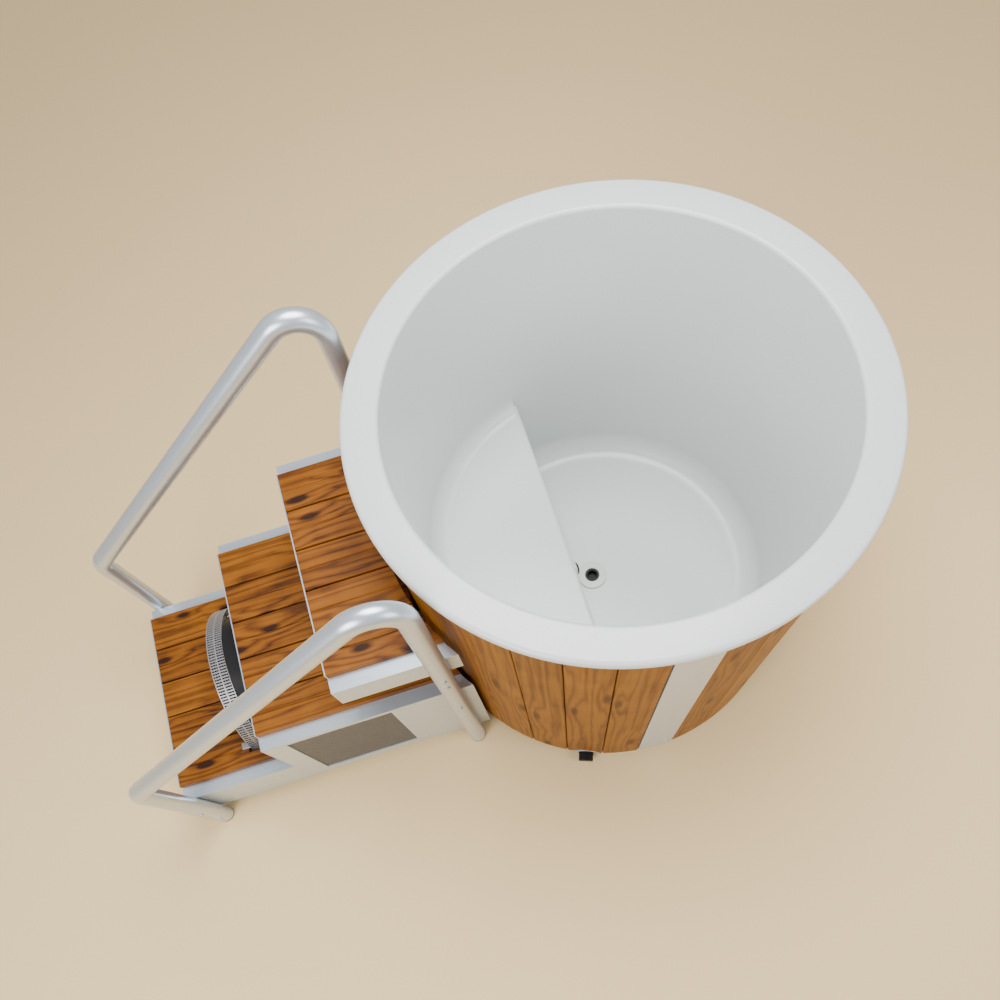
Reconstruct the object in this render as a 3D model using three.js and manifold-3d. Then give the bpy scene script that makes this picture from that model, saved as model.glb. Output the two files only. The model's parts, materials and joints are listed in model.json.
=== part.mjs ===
// Cold plunge tub: a round clad tub with a moulded bench, beside a stair unit that houses the chiller.
// Millimetres, +Z up. The origin is on the tub's axis at floor level, and +X runs from the stairs to the tub.
import * as THREE from 'three';
import { mergeVertices } from 'three/addons/utils/BufferGeometryUtils.js';
import Module from 'manifold-3d';

const wasm = await Module();
wasm.setup();

// Fits
const FIT = 0.3; // gap between pieces that touch
const HOLE_CLEARANCE = 2; // round a pipe that passes through a panel
const RUNNING_CLEARANCE = 1; // round the turning fan shaft
const CUT_OVERRUN = 20; // how far a cutter runs past the face it cuts
const BITE = 1; // overlap of two forms that are joined into one piece

// Tub shell
const RIM_RADIUS = 600;
const RIM_WIDTH = 86;
const RIM_TOP = 1022;
const RIM_THICKNESS = 25;
const RIM_INNER_ROUND = 9;
const SHELL_WALL = 8;
const WELL_TAPER = 14; // the well is this much narrower in radius at the floor than at the rim
const FLOOR_HEIGHT = 140;
const FLOOR_FILLET = 70;
const BENCH_HEIGHT = 450;
const BENCH_EDGE_X = -120;
const BENCH_FILLET = 45;
const BENCH_EDGE_ROUND = 12;
const TUB_SEGMENTS = 48;

// Cladding
const RIM_OVERHANG = 19; // how far the rim stands out past the cladding
const STAVE_THICKNESS = 28;
const STAVE_SLOTS = 32; // places round the tub, one of them taken by the metal strip
const STAVE_GAP = 2.5;
const STAVE_CHAMFER = 2.5;
const STRIP_START_DEGREES = -97;
const STRIP_SHEET = 3;

// Plinth
const PLINTH_HEIGHT = 50;
const PLINTH_LEDGE = 14; // how far the staves stand on the plinth
const CRADLE_RADIUS = 360;
const CRADLE_WIDTH = 60;

// Drain and water pipes
const DRAIN_X = -30;
const DRAIN_Y = 10;
const DRAIN_FLANGE_RADIUS = 48;
const DRAIN_FLANGE_THICKNESS = 6;
const DRAIN_BORE_RADIUS = 16;
const DRAIN_THROAT_LENGTH = 22;
const PIPE_RADIUS = 20;
const PIPE_WALL = 3;
const BRANCH_BORE_RADIUS = 12;
const OUTLET_HEIGHT = 30;
const OUTLET_DEGREES = -113.4;
const OUTLET_NOTCH_RADIUS = 50;
const SLEEVE_RADIUS = 24; // the thicker upright and the valve's collar
const VALVE_COLLAR_LENGTH = 40;
const HANDLE_HUB_RADIUS = 12;
const HANDLE_LENGTH = 24;
const HANDLE_SPAN = 46;
const INTAKE_HEIGHT = 90;
const RETURN_Y = -32;
const RETURN_HEIGHT = 324;
const FITTING_FLANGE_RADIUS = 32;
const FITTING_FLANGE_THICKNESS = 7;
const FITTING_NOSE_RADIUS = 19;
const FITTING_NOSE_LENGTH = 14;
const FITTING_BORE_RADIUS = 11;
const FITTING_TAIL_LENGTH = 22;

// Stair unit
const STAIR_WIDTH = 656;
const SHEET = 3;
const PANEL_BOTTOM = 37;
const FLANGE_WIDTH = 60;
const FOOT_FLANGE_WIDTH = 30;
const TOP_GOING = 234; // from the cladding to the front of the top step
const MIDDLE_GOING = 292;
const LOW_GOING = 348;
const LOW_TREAD_HEIGHT = 231;
const MIDDLE_TREAD_HEIGHT = 470;
const TOP_TREAD_HEIGHT = 731;
const CHEEK_DEPTH = 89; // from the underside of the top boards down to the cheek's lower edge
const TUB_GAP = 14; // between the stair unit's curved end and the cladding
const REAR_PANEL_INSET = 3;

// Tread boards
const BOARD_COUNT = 5;
const BOARD_PITCH = 116;
const BOARD_GAP = 4;
const BOARD_THICKNESS = 22;
const BOARD_ROUND = 3;
const GROOVE_WIDTH = 4; // a groove runs down the middle of each board
const GROOVE_DEPTH = 2.5;
const BATTEN_WIDTH = 45;
const BATTEN_THICKNESS = 20;
const BATTEN_END_MARGIN = 30; // from the front of a tread to its first batten

// Handrails
const RAIL_RADIUS = 25.4;
const RAIL_WALL = 2;
const RAIL_SIDES = 16;
const FRONT_POST_INSET = 26; // behind the front of the low step
const REAR_POST_INSET = 264; // behind the front of the top step
const LOWER_CORNER_HEIGHT = 504;
const UPPER_CORNER_HEIGHT = 1180;
const LOWER_BEND_RADIUS = 50;
const UPPER_BEND_RADIUS = 70;

// Vent in the near side panel
const VENT_INSET = 67; // behind the front of the middle step
const VENT_WIDTH = 303;
const VENT_BOTTOM = 87;
const VENT_HEIGHT = 344;
const VENT_MARGIN = 13;
const SCREEN_SHEET = 2;
const SCREEN_COLUMNS = 2;
const SCREEN_ROWS = 14;
const SCREEN_BAR = 10;

// Fan and its guard
const FAN_HEIGHT = 238;
const FAN_OPENING_RADIUS = 172;
const SHROUD_WALL = 12;
const SHROUD_DEPTH = 58;
const STRUT_THICKNESS = 12;
const STRUT_WIDTH = 16;
const STRUT_COUNT = 4;
const MOTOR_RADIUS = 42;
const MOTOR_LENGTH = 60;
const SHAFT_RADIUS = 6;
const BLADE_COUNT = 5;
const BLADE_TIP_GAP = 6;
const BLADE_CHORD = 84;
const BLADE_THICKNESS = 3;
const BLADE_PITCH_DEGREES = 24;
const ROTOR_DEPTH = 36;
const ROTOR_GAP = 3;
const GUARD_RADIUS = 245;
const GUARD_AXIS_HEIGHT = 165;
const GUARD_DEPTH = 48;
const GUARD_SHEET = 2.5;
const GUARD_DROP = 26; // how far the guard reaches below the tread surface, inside the notch
const GUARD_FOOT_LENGTH = 25;
const GUARD_FOOT_WIDTH = 22;
const GUARD_SLOT_WIDTH = 12;
const GUARD_SLOT_PITCH = 26;
const GUARD_SLOT_MARGIN = 22;
const NOTCH_CLEARANCE = 7;

// Chiller
const CONDENSER_DEPTH = 43;
const CONDENSER_BACK = 15;
const CONDENSER_FIN = 4;
const CONDENSER_FINS = 26;
const CONDENSER_TOP = 430;
const COMPRESSOR_INSET = 207; // behind the front of the middle step
const COMPRESSOR_Y = 170;
const COMPRESSOR_RADIUS = 80;
const COMPRESSOR_TOP = 300;
const COMPRESSOR_DOME = 45;
const COMPRESSOR_BASE = 12;
const EXCHANGER_INSET = 207;
const EXCHANGER_RADIUS = 65;
const EXCHANGER_TOP = 400;
const EXCHANGER_CAP = 18;
const PUMP_GAP = 64; // from the cladding to the pump
const PUMP_RADIUS = 45;
const PUMP_LENGTH = 55;
const PUMP_MOTOR_RADIUS = 37;
const PUMP_MOTOR_LENGTH = 120;
const PUMP_FOOT_WIDTH = 60;

// Worked-out sizes
const WELL_RADIUS = RIM_RADIUS - RIM_WIDTH;
const RIM_BOTTOM = RIM_TOP - RIM_THICKNESS;
const CLADDING_RADIUS = RIM_RADIUS - RIM_OVERHANG;
const STAVE_INNER_RADIUS = CLADDING_RADIUS - STAVE_THICKNESS;
const PLINTH_RADIUS = STAVE_INNER_RADIUS + PLINTH_LEDGE;
const SLOT_ANGLE = (2 * Math.PI) / STAVE_SLOTS;
const TOP_FRONT_X = -CLADDING_RADIUS - TOP_GOING;
const MIDDLE_FRONT_X = TOP_FRONT_X - MIDDLE_GOING;
const LOW_FRONT_X = MIDDLE_FRONT_X - LOW_GOING;
const FRONT_POST_X = LOW_FRONT_X + FRONT_POST_INSET;
const REAR_POST_X = TOP_FRONT_X + REAR_POST_INSET;
const VENT_FRONT_X = MIDDLE_FRONT_X + VENT_INSET;
const COMPRESSOR_X = MIDDLE_FRONT_X + COMPRESSOR_INSET;
const EXCHANGER_X = MIDDLE_FRONT_X + EXCHANGER_INSET;
const PUMP_FRONT_X = -CLADDING_RADIUS - PUMP_GAP;
const STAIR_HALF = STAIR_WIDTH / 2;
const REAR_ARC_RADIUS = CLADDING_RADIUS + TUB_GAP;
const LOW_DECK = LOW_TREAD_HEIGHT - BOARD_THICKNESS;
const MIDDLE_DECK = MIDDLE_TREAD_HEIGHT - BOARD_THICKNESS;
const TOP_DECK = TOP_TREAD_HEIGHT - BOARD_THICKNESS;
const BOX_FRONT_X = MIDDLE_FRONT_X + SHEET + FIT;
const INNER_HALF = STAIR_HALF - SHEET - FIT;
const TRAY_BOTTOM = PANEL_BOTTOM + SHEET + FIT;
const TRAY_TOP = TRAY_BOTTOM + SHEET;
const INSIDE_FLOOR = TRAY_TOP + FIT;
const SHROUD_BACK_X = MIDDLE_FRONT_X - FIT;
const SHROUD_FRONT_X = SHROUD_BACK_X - SHROUD_DEPTH;
const GUARD_BACK_X = SHROUD_FRONT_X - ROTOR_GAP;
const GUARD_FRONT_X = GUARD_BACK_X - GUARD_DEPTH;
const GUARD_BOTTOM = LOW_TREAD_HEIGHT - GUARD_DROP;
const OUTLET_ANGLE = THREE.MathUtils.degToRad(OUTLET_DEGREES);

// Finishes
const FINISH = {
  shell: { color: 0xe9ebe9, roughness: 0.22, metalness: 0 },
  stave: { color: 0xb97f42, roughness: 0.55, metalness: 0 },
  tread: { color: 0xa5642a, roughness: 0.55, metalness: 0 },
  sheet: { color: 0xc4c5c5, roughness: 0.38, metalness: 0.85 },
  rail: { color: 0xc2c4c6, roughness: 0.3, metalness: 0.95 },
  screen: { color: 0x7d7d7f, roughness: 0.5, metalness: 0.7 },
  blackPlastic: { color: 0x17181a, roughness: 0.5, metalness: 0 },
  whitePlastic: { color: 0xd9dad2, roughness: 0.4, metalness: 0 },
  base: { color: 0x3a3b3c, roughness: 0.7, metalness: 0 },
  machine: { color: 0x2b2d30, roughness: 0.45, metalness: 0.4 },
};

const coldPlungeTub = new THREE.Group();

// Adds one named piece, made from a geometry or from a cut solid.
function addPiece(name, finish, form) {
  const geometry = form.isBufferGeometry ? form : geometryOf(form);
  const mesh = new THREE.Mesh(geometry, new THREE.MeshStandardMaterial(finish));
  mesh.name = name;
  coldPlungeTub.add(mesh);
}

// Turns a closed geometry into a solid that can be cut and joined.
function solid(geometry) {
  const bare = geometry.index ? geometry.toNonIndexed() : geometry.clone();
  bare.deleteAttribute('normal');
  bare.deleteAttribute('uv');
  const merged = mergeVertices(bare, 1e-3);
  const triangles = [];
  const index = merged.index.array;
  for (let i = 0; i < index.length; i += 3) {
    const [a, b, c] = [index[i], index[i + 1], index[i + 2]];
    if (a !== b && b !== c && c !== a) triangles.push(a, b, c);
  }
  const mesh = new wasm.Mesh({
    numProp: 3,
    vertProperties: new Float32Array(merged.attributes.position.array),
    triVerts: new Uint32Array(triangles),
  });
  return new wasm.Manifold(mesh);
}

function geometryOf(manifold) {
  const mesh = manifold.getMesh();
  const geometry = new THREE.BufferGeometry();
  geometry.setAttribute('position', new THREE.BufferAttribute(mesh.vertProperties, 3));
  geometry.setIndex(new THREE.BufferAttribute(mesh.triVerts, 1));
  return geometry;
}

const join = (...solids) => solids.reduce((whole, next) => whole.add(next));
const cut = (body, ...tools) => tools.reduce((rest, tool) => rest.subtract(tool), body);

// Basic forms
function block(x0, x1, y0, y1, z0, z1) {
  const box = new THREE.BoxGeometry(x1 - x0, y1 - y0, z1 - z0);
  return box.translate((x0 + x1) / 2, (y0 + y1) / 2, (z0 + z1) / 2);
}

function rod(radius, from, to, sides = 20) {
  const axis = new THREE.Vector3().subVectors(to, from);
  const cylinder = new THREE.CylinderGeometry(radius, radius, axis.length(), sides);
  const turn = new THREE.Quaternion().setFromUnitVectors(new THREE.Vector3(0, 1, 0), axis.clone().normalize());
  const middle = new THREE.Vector3().addVectors(from, to).multiplyScalar(0.5);
  return cylinder.applyQuaternion(turn).translate(middle.x, middle.y, middle.z);
}

const at = (x, y, z) => new THREE.Vector3(x, y, z);
const polar = (radius, angle) => new THREE.Vector2(radius * Math.cos(angle), radius * Math.sin(angle));

// Points of a circular arc in a profile plane.
function arc(centreX, centreY, radius, start, end, steps) {
  const points = [];
  for (let i = 0; i <= steps; i += 1) {
    points.push(polar(radius, start + ((end - start) * i) / steps).add(new THREE.Vector2(centreX, centreY)));
  }
  return points;
}

// A profile of (radius, height) points turned about the vertical axis.
function turned(profile, segments = 32) {
  return new THREE.LatheGeometry(profile, segments).rotateX(Math.PI / 2);
}

const point = (x, y) => new THREE.Vector2(x, y);

function extruded(shape, depth, curveSegments = 24) {
  return new THREE.ExtrudeGeometry(shape, { depth, bevelEnabled: false, curveSegments });
}

// Plan outline raised along Z, side outline (x, z) pushed along Y, and cross-section (y, z) run along X.
function prismZ(shape, z0, z1) {
  return extruded(shape, z1 - z0).translate(0, 0, z0);
}

function prismY(shape, y0, y1) {
  return extruded(shape, y1 - y0).rotateX(Math.PI / 2).translate(0, y1, 0);
}

function prismX(shape, x0, x1, curveSegments) {
  const basis = new THREE.Matrix4().makeBasis(at(0, 1, 0), at(0, 0, 1), at(1, 0, 0));
  return extruded(shape, x1 - x0, curveSegments).applyMatrix4(basis).translate(x0, 0, 0);
}

function circleShape(centreX, centreY, radius, boreRadius = 0) {
  const shape = new THREE.Shape().absarc(centreX, centreY, radius, 0, 2 * Math.PI);
  if (boreRadius > 0) shape.holes.push(new THREE.Path().absarc(centreX, centreY, boreRadius, 0, 2 * Math.PI));
  return shape;
}

// The path of a tube with straight runs and round bends, with steps only where it bends.
class BentPath extends THREE.Curve {
  constructor(corners, radii, bendSteps) {
    super();
    this.stations = [corners[0]];
    for (let i = 1; i < corners.length - 1; i += 1) {
      this.addBend(corners[i - 1], corners[i], corners[i + 1], radii[i - 1], bendSteps);
    }
    this.stations.push(corners[corners.length - 1]);
    this.steps = this.stations.length - 1;
  }

  addBend(before, corner, after, radius, bendSteps) {
    const back = before.clone().sub(corner).normalize();
    const ahead = after.clone().sub(corner).normalize();
    const halfAngle = back.angleTo(ahead) / 2;
    const middle = back.clone().add(ahead).normalize();
    const centre = corner.clone().addScaledVector(middle, radius / Math.sin(halfAngle));
    const start = corner.clone().addScaledVector(back, radius / Math.tan(halfAngle)).sub(centre);
    const sweep = Math.PI - 2 * halfAngle;
    const axis = back.clone().cross(start).normalize();
    for (let i = 0; i <= bendSteps; i += 1) {
      this.stations.push(start.clone().applyAxisAngle(axis, (sweep * i) / bendSteps).add(centre));
    }
  }

  getUtoTmapping(u) {
    return u;
  }

  getPoint(t, target = new THREE.Vector3()) {
    const place = Math.min(t, 1) * this.steps;
    const index = Math.min(Math.floor(place), this.steps - 1);
    return target.lerpVectors(this.stations[index], this.stations[index + 1], place - index);
  }

  getTangent(t, target = new THREE.Vector3()) {
    const index = Math.round(t * this.steps);
    const before = this.stations[Math.max(index - 1, 0)];
    const here = this.stations[index];
    const after = this.stations[Math.min(index + 1, this.steps)];
    const arriving = here.clone().sub(before).normalize();
    const leaving = after.clone().sub(here).normalize();
    return target.addVectors(arriving, leaving).normalize();
  }
}

// Tub shell: the well above the bench and the foot well beside it share one wall.
function wellRadiusAt(height) {
  return WELL_RADIUS - (WELL_TAPER * (RIM_TOP - height)) / (RIM_TOP - FLOOR_HEIGHT);
}

// A round basin with a filleted floor, grown outwards by the wall for the outside of the moulding.
function basin(floorHeight, fillet, topHeight, wall) {
  const wallRadius = wellRadiusAt(floorHeight) + wall;
  const floor = floorHeight - wall;
  const round = fillet + wall;
  return [
    point(0, floor),
    ...arc(wallRadius - round, floor + round, round, -Math.PI / 2, 0, 4),
    point(wellRadiusAt(topHeight) + wall, topHeight),
  ];
}

function benchCutter(wall) {
  const edge = BENCH_EDGE_X - wall;
  const top = BENCH_HEIGHT - wall;
  const round = BENCH_EDGE_ROUND + wall;
  const upper = BENCH_HEIGHT + BENCH_FILLET + CUT_OVERRUN;
  const outline = [
    point(edge, -CUT_OVERRUN),
    ...arc(edge - round, top - round, round, 0, Math.PI / 2, 4),
    point(edge - round, upper),
    point(RIM_RADIUS, upper),
    point(RIM_RADIUS, -CUT_OVERRUN),
  ];
  return solid(prismY(new THREE.Shape(outline), -RIM_RADIUS, RIM_RADIUS));
}

function footWell(wall) {
  const top = BENCH_HEIGHT + BENCH_FILLET;
  const profile = [...basin(FLOOR_HEIGHT, FLOOR_FILLET, top, wall), point(0, top)];
  return solid(turned(profile, TUB_SEGMENTS)).intersect(benchCutter(wall));
}

function bathWell() {
  const lipRadius = WELL_RADIUS + RIM_INNER_ROUND;
  const lipHeight = RIM_TOP - RIM_INNER_ROUND;
  const profile = [
    ...basin(BENCH_HEIGHT, BENCH_FILLET, lipHeight, 0),
    ...arc(lipRadius, lipHeight, RIM_INNER_ROUND, Math.PI, Math.PI / 2, 3),
    point(lipRadius, RIM_TOP + CUT_OVERRUN),
    point(0, RIM_TOP + CUT_OVERRUN),
  ];
  return solid(turned(profile, TUB_SEGMENTS));
}

function makeTubShell() {
  const bathTop = RIM_BOTTOM + BITE;
  const bath = [...basin(BENCH_HEIGHT, BENCH_FILLET, bathTop, SHELL_WALL), point(0, bathTop)];
  const bullnose = RIM_THICKNESS / 2;
  const rim = [
    point(0, RIM_BOTTOM),
    ...arc(RIM_RADIUS - bullnose, RIM_BOTTOM + bullnose, bullnose, -Math.PI / 2, Math.PI / 2, 6),
    point(0, RIM_TOP),
  ];
  const [rimForm, bathForm] = [rim, bath].map((profile) => solid(turned(profile, TUB_SEGMENTS)));
  const outside = join(rimForm, bathForm, footWell(SHELL_WALL));
  const throatRadius = DRAIN_BORE_RADIUS + PIPE_WALL + FIT;
  const drainHole = rod(throatRadius, at(DRAIN_X, DRAIN_Y, 0), at(DRAIN_X, DRAIN_Y, BENCH_HEIGHT));
  const behindBench = at(BENCH_EDGE_X - CUT_OVERRUN, RETURN_Y, RETURN_HEIGHT);
  const beforeBench = at(BENCH_EDGE_X + CUT_OVERRUN, RETURN_Y, RETURN_HEIGHT);
  const fittingHole = rod(PIPE_RADIUS + FIT, behindBench, beforeBench);
  const hollow = [bathWell(), footWell(0), solid(drainHole), solid(fittingHole)];
  addPiece('tub_shell', FINISH.shell, cut(outside, ...hollow));
}

// Water pipes: the drain drops to a branch that feeds the pump and to an elbow that runs out to the valve.
const drainTop = at(DRAIN_X, DRAIN_Y, FLOOR_HEIGHT - DRAIN_THROAT_LENGTH - FIT);
const drainBranch = at(DRAIN_X, DRAIN_Y, INTAKE_HEIGHT);
const drainElbow = at(DRAIN_X, DRAIN_Y, OUTLET_HEIGHT);
const pumpInlet = at(PUMP_FRONT_X + FIT, DRAIN_Y, INTAKE_HEIGHT);
const outletPlan = polar(CLADDING_RADIUS, OUTLET_ANGLE);
const outletFace = at(outletPlan.x, outletPlan.y, OUTLET_HEIGHT);
const outletRun = outletFace.clone().sub(drainElbow).normalize();
const alongOutlet = (distance) => outletFace.clone().addScaledVector(outletRun, distance);
const returnStart = at(EXCHANGER_X + EXCHANGER_RADIUS + FIT, RETURN_Y, RETURN_HEIGHT);
const returnEnd = at(BENCH_EDGE_X - FITTING_TAIL_LENGTH - FIT, RETURN_Y, RETURN_HEIGHT);
const pipeHoleRadius = PIPE_RADIUS + HOLE_CLEARANCE;
const intakeHole = solid(rod(pipeHoleRadius, drainBranch, pumpInlet));
const returnHole = solid(rod(pipeHoleRadius, returnStart, returnEnd));
const outletNotch = solid(
  rod(OUTLET_NOTCH_RADIUS, alongOutlet(-2 * STAVE_THICKNESS), alongOutlet(CUT_OVERRUN)),
);

function makeDrain() {
  const throatRadius = DRAIN_BORE_RADIUS + PIPE_WALL;
  const seat = FLOOR_HEIGHT + FIT;
  const top = seat + DRAIN_FLANGE_THICKNESS;
  const profile = [
    point(DRAIN_BORE_RADIUS, FLOOR_HEIGHT - DRAIN_THROAT_LENGTH),
    point(throatRadius, FLOOR_HEIGHT - DRAIN_THROAT_LENGTH),
    point(throatRadius, seat),
    point(DRAIN_FLANGE_RADIUS, seat),
    point(DRAIN_FLANGE_RADIUS, seat + DRAIN_FLANGE_THICKNESS / 3),
    point(DRAIN_FLANGE_RADIUS - DRAIN_FLANGE_THICKNESS, top),
    point(throatRadius, top),
    point(DRAIN_BORE_RADIUS, seat + DRAIN_FLANGE_THICKNESS / 2),
    point(DRAIN_BORE_RADIUS, FLOOR_HEIGHT - DRAIN_THROAT_LENGTH),
  ];
  addPiece('drain_flange', FINISH.whitePlastic, turned(profile, 20).translate(DRAIN_X, DRAIN_Y, 0));

  const sump = drainElbow.clone().add(at(0, 0, -SLEEVE_RADIUS));
  const upright = solid(rod(SLEEVE_RADIUS, sump, drainTop));
  const intake = solid(rod(PIPE_RADIUS, drainBranch, pumpInlet, 16));
  const outlet = solid(rod(PIPE_RADIUS, drainElbow, outletFace, 16));
  const collar = solid(rod(SLEEVE_RADIUS, alongOutlet(-VALVE_COLLAR_LENGTH), outletFace));
  const aboveTop = drainTop.clone().add(at(0, 0, CUT_OVERRUN));
  const pastPump = pumpInlet.clone().add(at(-CUT_OVERRUN, 0, 0));
  const bores = [
    rod(DRAIN_BORE_RADIUS, drainElbow, aboveTop, 16),
    rod(BRANCH_BORE_RADIUS, drainBranch, pastPump, 12),
    rod(BRANCH_BORE_RADIUS, drainElbow, alongOutlet(CUT_OVERRUN), 12),
  ];
  const pipe = cut(join(upright, intake, outlet, collar), ...bores.map(solid));
  addPiece('drain_pipe', FINISH.blackPlastic, pipe);
}

// The valve's winged handle turns a quarter turn about the outlet's own axis.
function makeValveHandle() {
  const wing = new THREE.Shape();
  const lobe = HANDLE_HUB_RADIUS;
  const reach = HANDLE_SPAN / 2 - lobe;
  wing.absarc(reach, 0, lobe, -Math.PI / 2, Math.PI / 2);
  wing.quadraticCurveTo(0, lobe / 2, -reach, lobe);
  wing.absarc(-reach, 0, lobe, Math.PI / 2, (3 * Math.PI) / 2);
  wing.quadraticCurveTo(0, -lobe / 2, reach, -lobe);
  const side = at(0, 0, 1).cross(outletRun).negate();
  const basis = new THREE.Matrix4().makeBasis(side, at(0, 0, 1), outletRun);
  if (basis.determinant() < 0) basis.makeBasis(side.negate(), at(0, 0, 1), outletRun);
  const base = alongOutlet(FIT);
  const handle = extruded(wing, HANDLE_LENGTH, 8).applyMatrix4(basis).translate(base.x, base.y, base.z);
  addPiece('drain_valve_handle', FINISH.blackPlastic, handle);
}

function makeReturnLine() {
  const face = BENCH_EDGE_X + FIT;
  const flangeEnd = face + FITTING_FLANGE_THICKNESS;
  const noseEnd = flangeEnd + FITTING_NOSE_LENGTH;
  const tail = BENCH_EDGE_X - FITTING_TAIL_LENGTH;
  const profile = [
    point(FITTING_BORE_RADIUS, tail),
    point(PIPE_RADIUS, tail),
    point(PIPE_RADIUS, face),
    point(FITTING_FLANGE_RADIUS, face),
    point(FITTING_FLANGE_RADIUS, flangeEnd),
    point(FITTING_NOSE_RADIUS, flangeEnd),
    point(FITTING_NOSE_RADIUS, noseEnd),
    point(FITTING_BORE_RADIUS, noseEnd),
    point(FITTING_BORE_RADIUS, tail),
  ];
  const fitting = new THREE.LatheGeometry(profile, 20).rotateZ(-Math.PI / 2);
  addPiece('return_fitting', FINISH.whitePlastic, fitting.translate(0, RETURN_Y, RETURN_HEIGHT));
  const section = circleShape(RETURN_Y, RETURN_HEIGHT, PIPE_RADIUS, PIPE_RADIUS - PIPE_WALL);
  addPiece('return_pipe', FINISH.whitePlastic, prismX(section, returnStart.x, returnEnd.x, 8));
}

// Plinth: a round slab under the staves, with a cradle under the shell's floor and a channel for the drain.
function makePlinth() {
  const cradleTop = FLOOR_HEIGHT - SHELL_WALL - FIT;
  const profile = [
    point(0, 0),
    point(PLINTH_RADIUS, 0),
    point(PLINTH_RADIUS, PLINTH_HEIGHT),
    point(CRADLE_RADIUS + CRADLE_WIDTH / 2, PLINTH_HEIGHT),
    point(CRADLE_RADIUS + CRADLE_WIDTH / 2, cradleTop),
    point(CRADLE_RADIUS - CRADLE_WIDTH / 2, cradleTop),
    point(CRADLE_RADIUS - CRADLE_WIDTH / 2, PLINTH_HEIGHT),
    point(0, PLINTH_HEIGHT),
  ];
  const channelHalf = SLEEVE_RADIUS + HOLE_CLEARANCE;
  const reach = outletFace.distanceTo(drainElbow);
  const channelTop = PLINTH_HEIGHT - OUTLET_HEIGHT + BITE;
  const channel = block(0, reach, -channelHalf, channelHalf, -channelHalf, channelTop);
  channel.rotateZ(Math.atan2(outletRun.y, outletRun.x)).translate(drainElbow.x, drainElbow.y, drainElbow.z);
  const pocketFloor = drainElbow.clone().add(at(0, 0, -channelHalf));
  const pocket = rod(channelHalf, pocketFloor, drainElbow.clone().add(at(0, 0, channelTop)));
  const plinth = cut(solid(turned(profile, TUB_SEGMENTS)), solid(channel), solid(pocket), intakeHole);
  addPiece('base_plinth', FINISH.base, plinth);
}

// Cladding: staves stand on the plinth and reach up under the rim.
const staveBottom = PLINTH_HEIGHT + FIT;
const staveTop = RIM_BOTTOM - FIT;

function slotStart(slot) {
  return THREE.MathUtils.degToRad(STRIP_START_DEGREES) + slot * SLOT_ANGLE;
}

function makeStave(slot) {
  const gapAngle = STAVE_GAP / 2 / CLADDING_RADIUS;
  const chamferAngle = STAVE_CHAMFER / CLADDING_RADIUS;
  const start = slotStart(slot) + gapAngle;
  const end = slotStart(slot + 1) - gapAngle;
  const outline = [
    polar(CLADDING_RADIUS - STAVE_CHAMFER, start),
    ...arc(0, 0, CLADDING_RADIUS, start + chamferAngle, end - chamferAngle, 3),
    polar(CLADDING_RADIUS - STAVE_CHAMFER, end),
    ...arc(0, 0, STAVE_INNER_RADIUS, end, start, 2),
  ];
  const stave = solid(prismZ(new THREE.Shape(outline), staveBottom, staveTop));
  const name = `stave_${String(slot).padStart(2, '0')}`;
  addPiece(name, FINISH.stave, cut(stave, outletNotch, intakeHole, returnHole));
}

// The metal strip is a folded channel that takes the place of one stave.
function makeMetalStrip() {
  const gapAngle = STAVE_GAP / 2 / CLADDING_RADIUS;
  const start = slotStart(0) + gapAngle;
  const end = slotStart(1) - gapAngle;
  const sideAngle = STRIP_SHEET / CLADDING_RADIUS;
  const faceBack = CLADDING_RADIUS - STRIP_SHEET;
  const outline = [
    ...arc(0, 0, CLADDING_RADIUS, start, end, 4),
    polar(STAVE_INNER_RADIUS, end),
    polar(STAVE_INNER_RADIUS, end - sideAngle),
    ...arc(0, 0, faceBack, end - sideAngle, start + sideAngle, 4),
    polar(STAVE_INNER_RADIUS, start + sideAngle),
    polar(STAVE_INNER_RADIUS, start),
  ];
  addPiece('metal_strip', FINISH.sheet, prismZ(new THREE.Shape(outline), staveBottom, staveTop));
}

function makeCladding() {
  makeMetalStrip();
  for (let slot = 1; slot < STAVE_SLOTS; slot += 1) makeStave(slot);
}

// Everything in the stair unit that meets the tub ends on one arc about the tub's axis.
const tubArc = solid(rod(REAR_ARC_RADIUS, at(0, 0, -CUT_OVERRUN), at(0, 0, RIM_TOP), 96));

// A side sheet: an upright web folded inwards along its top, and along its foot where that is asked for.
function sideSheet(side, frontX, bottom, top, footFlange) {
  const outer = STAIR_HALF;
  const outline = [point(outer, bottom), point(outer, top), point(outer - FLANGE_WIDTH, top)];
  outline.push(point(outer - FLANGE_WIDTH, top - SHEET), point(outer - SHEET, top - SHEET));
  if (footFlange) {
    outline.push(point(outer - SHEET, bottom + SHEET), point(outer - FOOT_FLANGE_WIDTH, bottom + SHEET));
    outline.push(point(outer - FOOT_FLANGE_WIDTH, bottom));
  } else {
    outline.push(point(outer - SHEET, bottom));
  }
  const mirrored = outline.map((corner) => point(side * corner.x, corner.y));
  return (endX) => solid(prismX(new THREE.Shape(mirrored), frontX, endX));
}

// A front sheet: as wide as the stair up to the flanges, then narrower to edge the boards up to the tread.
function frontShape(bottom, deck) {
  const boards = (BOARD_COUNT * BOARD_PITCH - BOARD_GAP) / 2;
  const tread = deck + BOARD_THICKNESS;
  return new THREE.Shape([
    point(-STAIR_HALF, bottom),
    point(STAIR_HALF, bottom),
    point(STAIR_HALF, deck),
    point(boards, deck),
    point(boards, tread),
    point(-boards, tread),
    point(-boards, deck),
    point(-STAIR_HALF, deck),
  ]);
}

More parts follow.
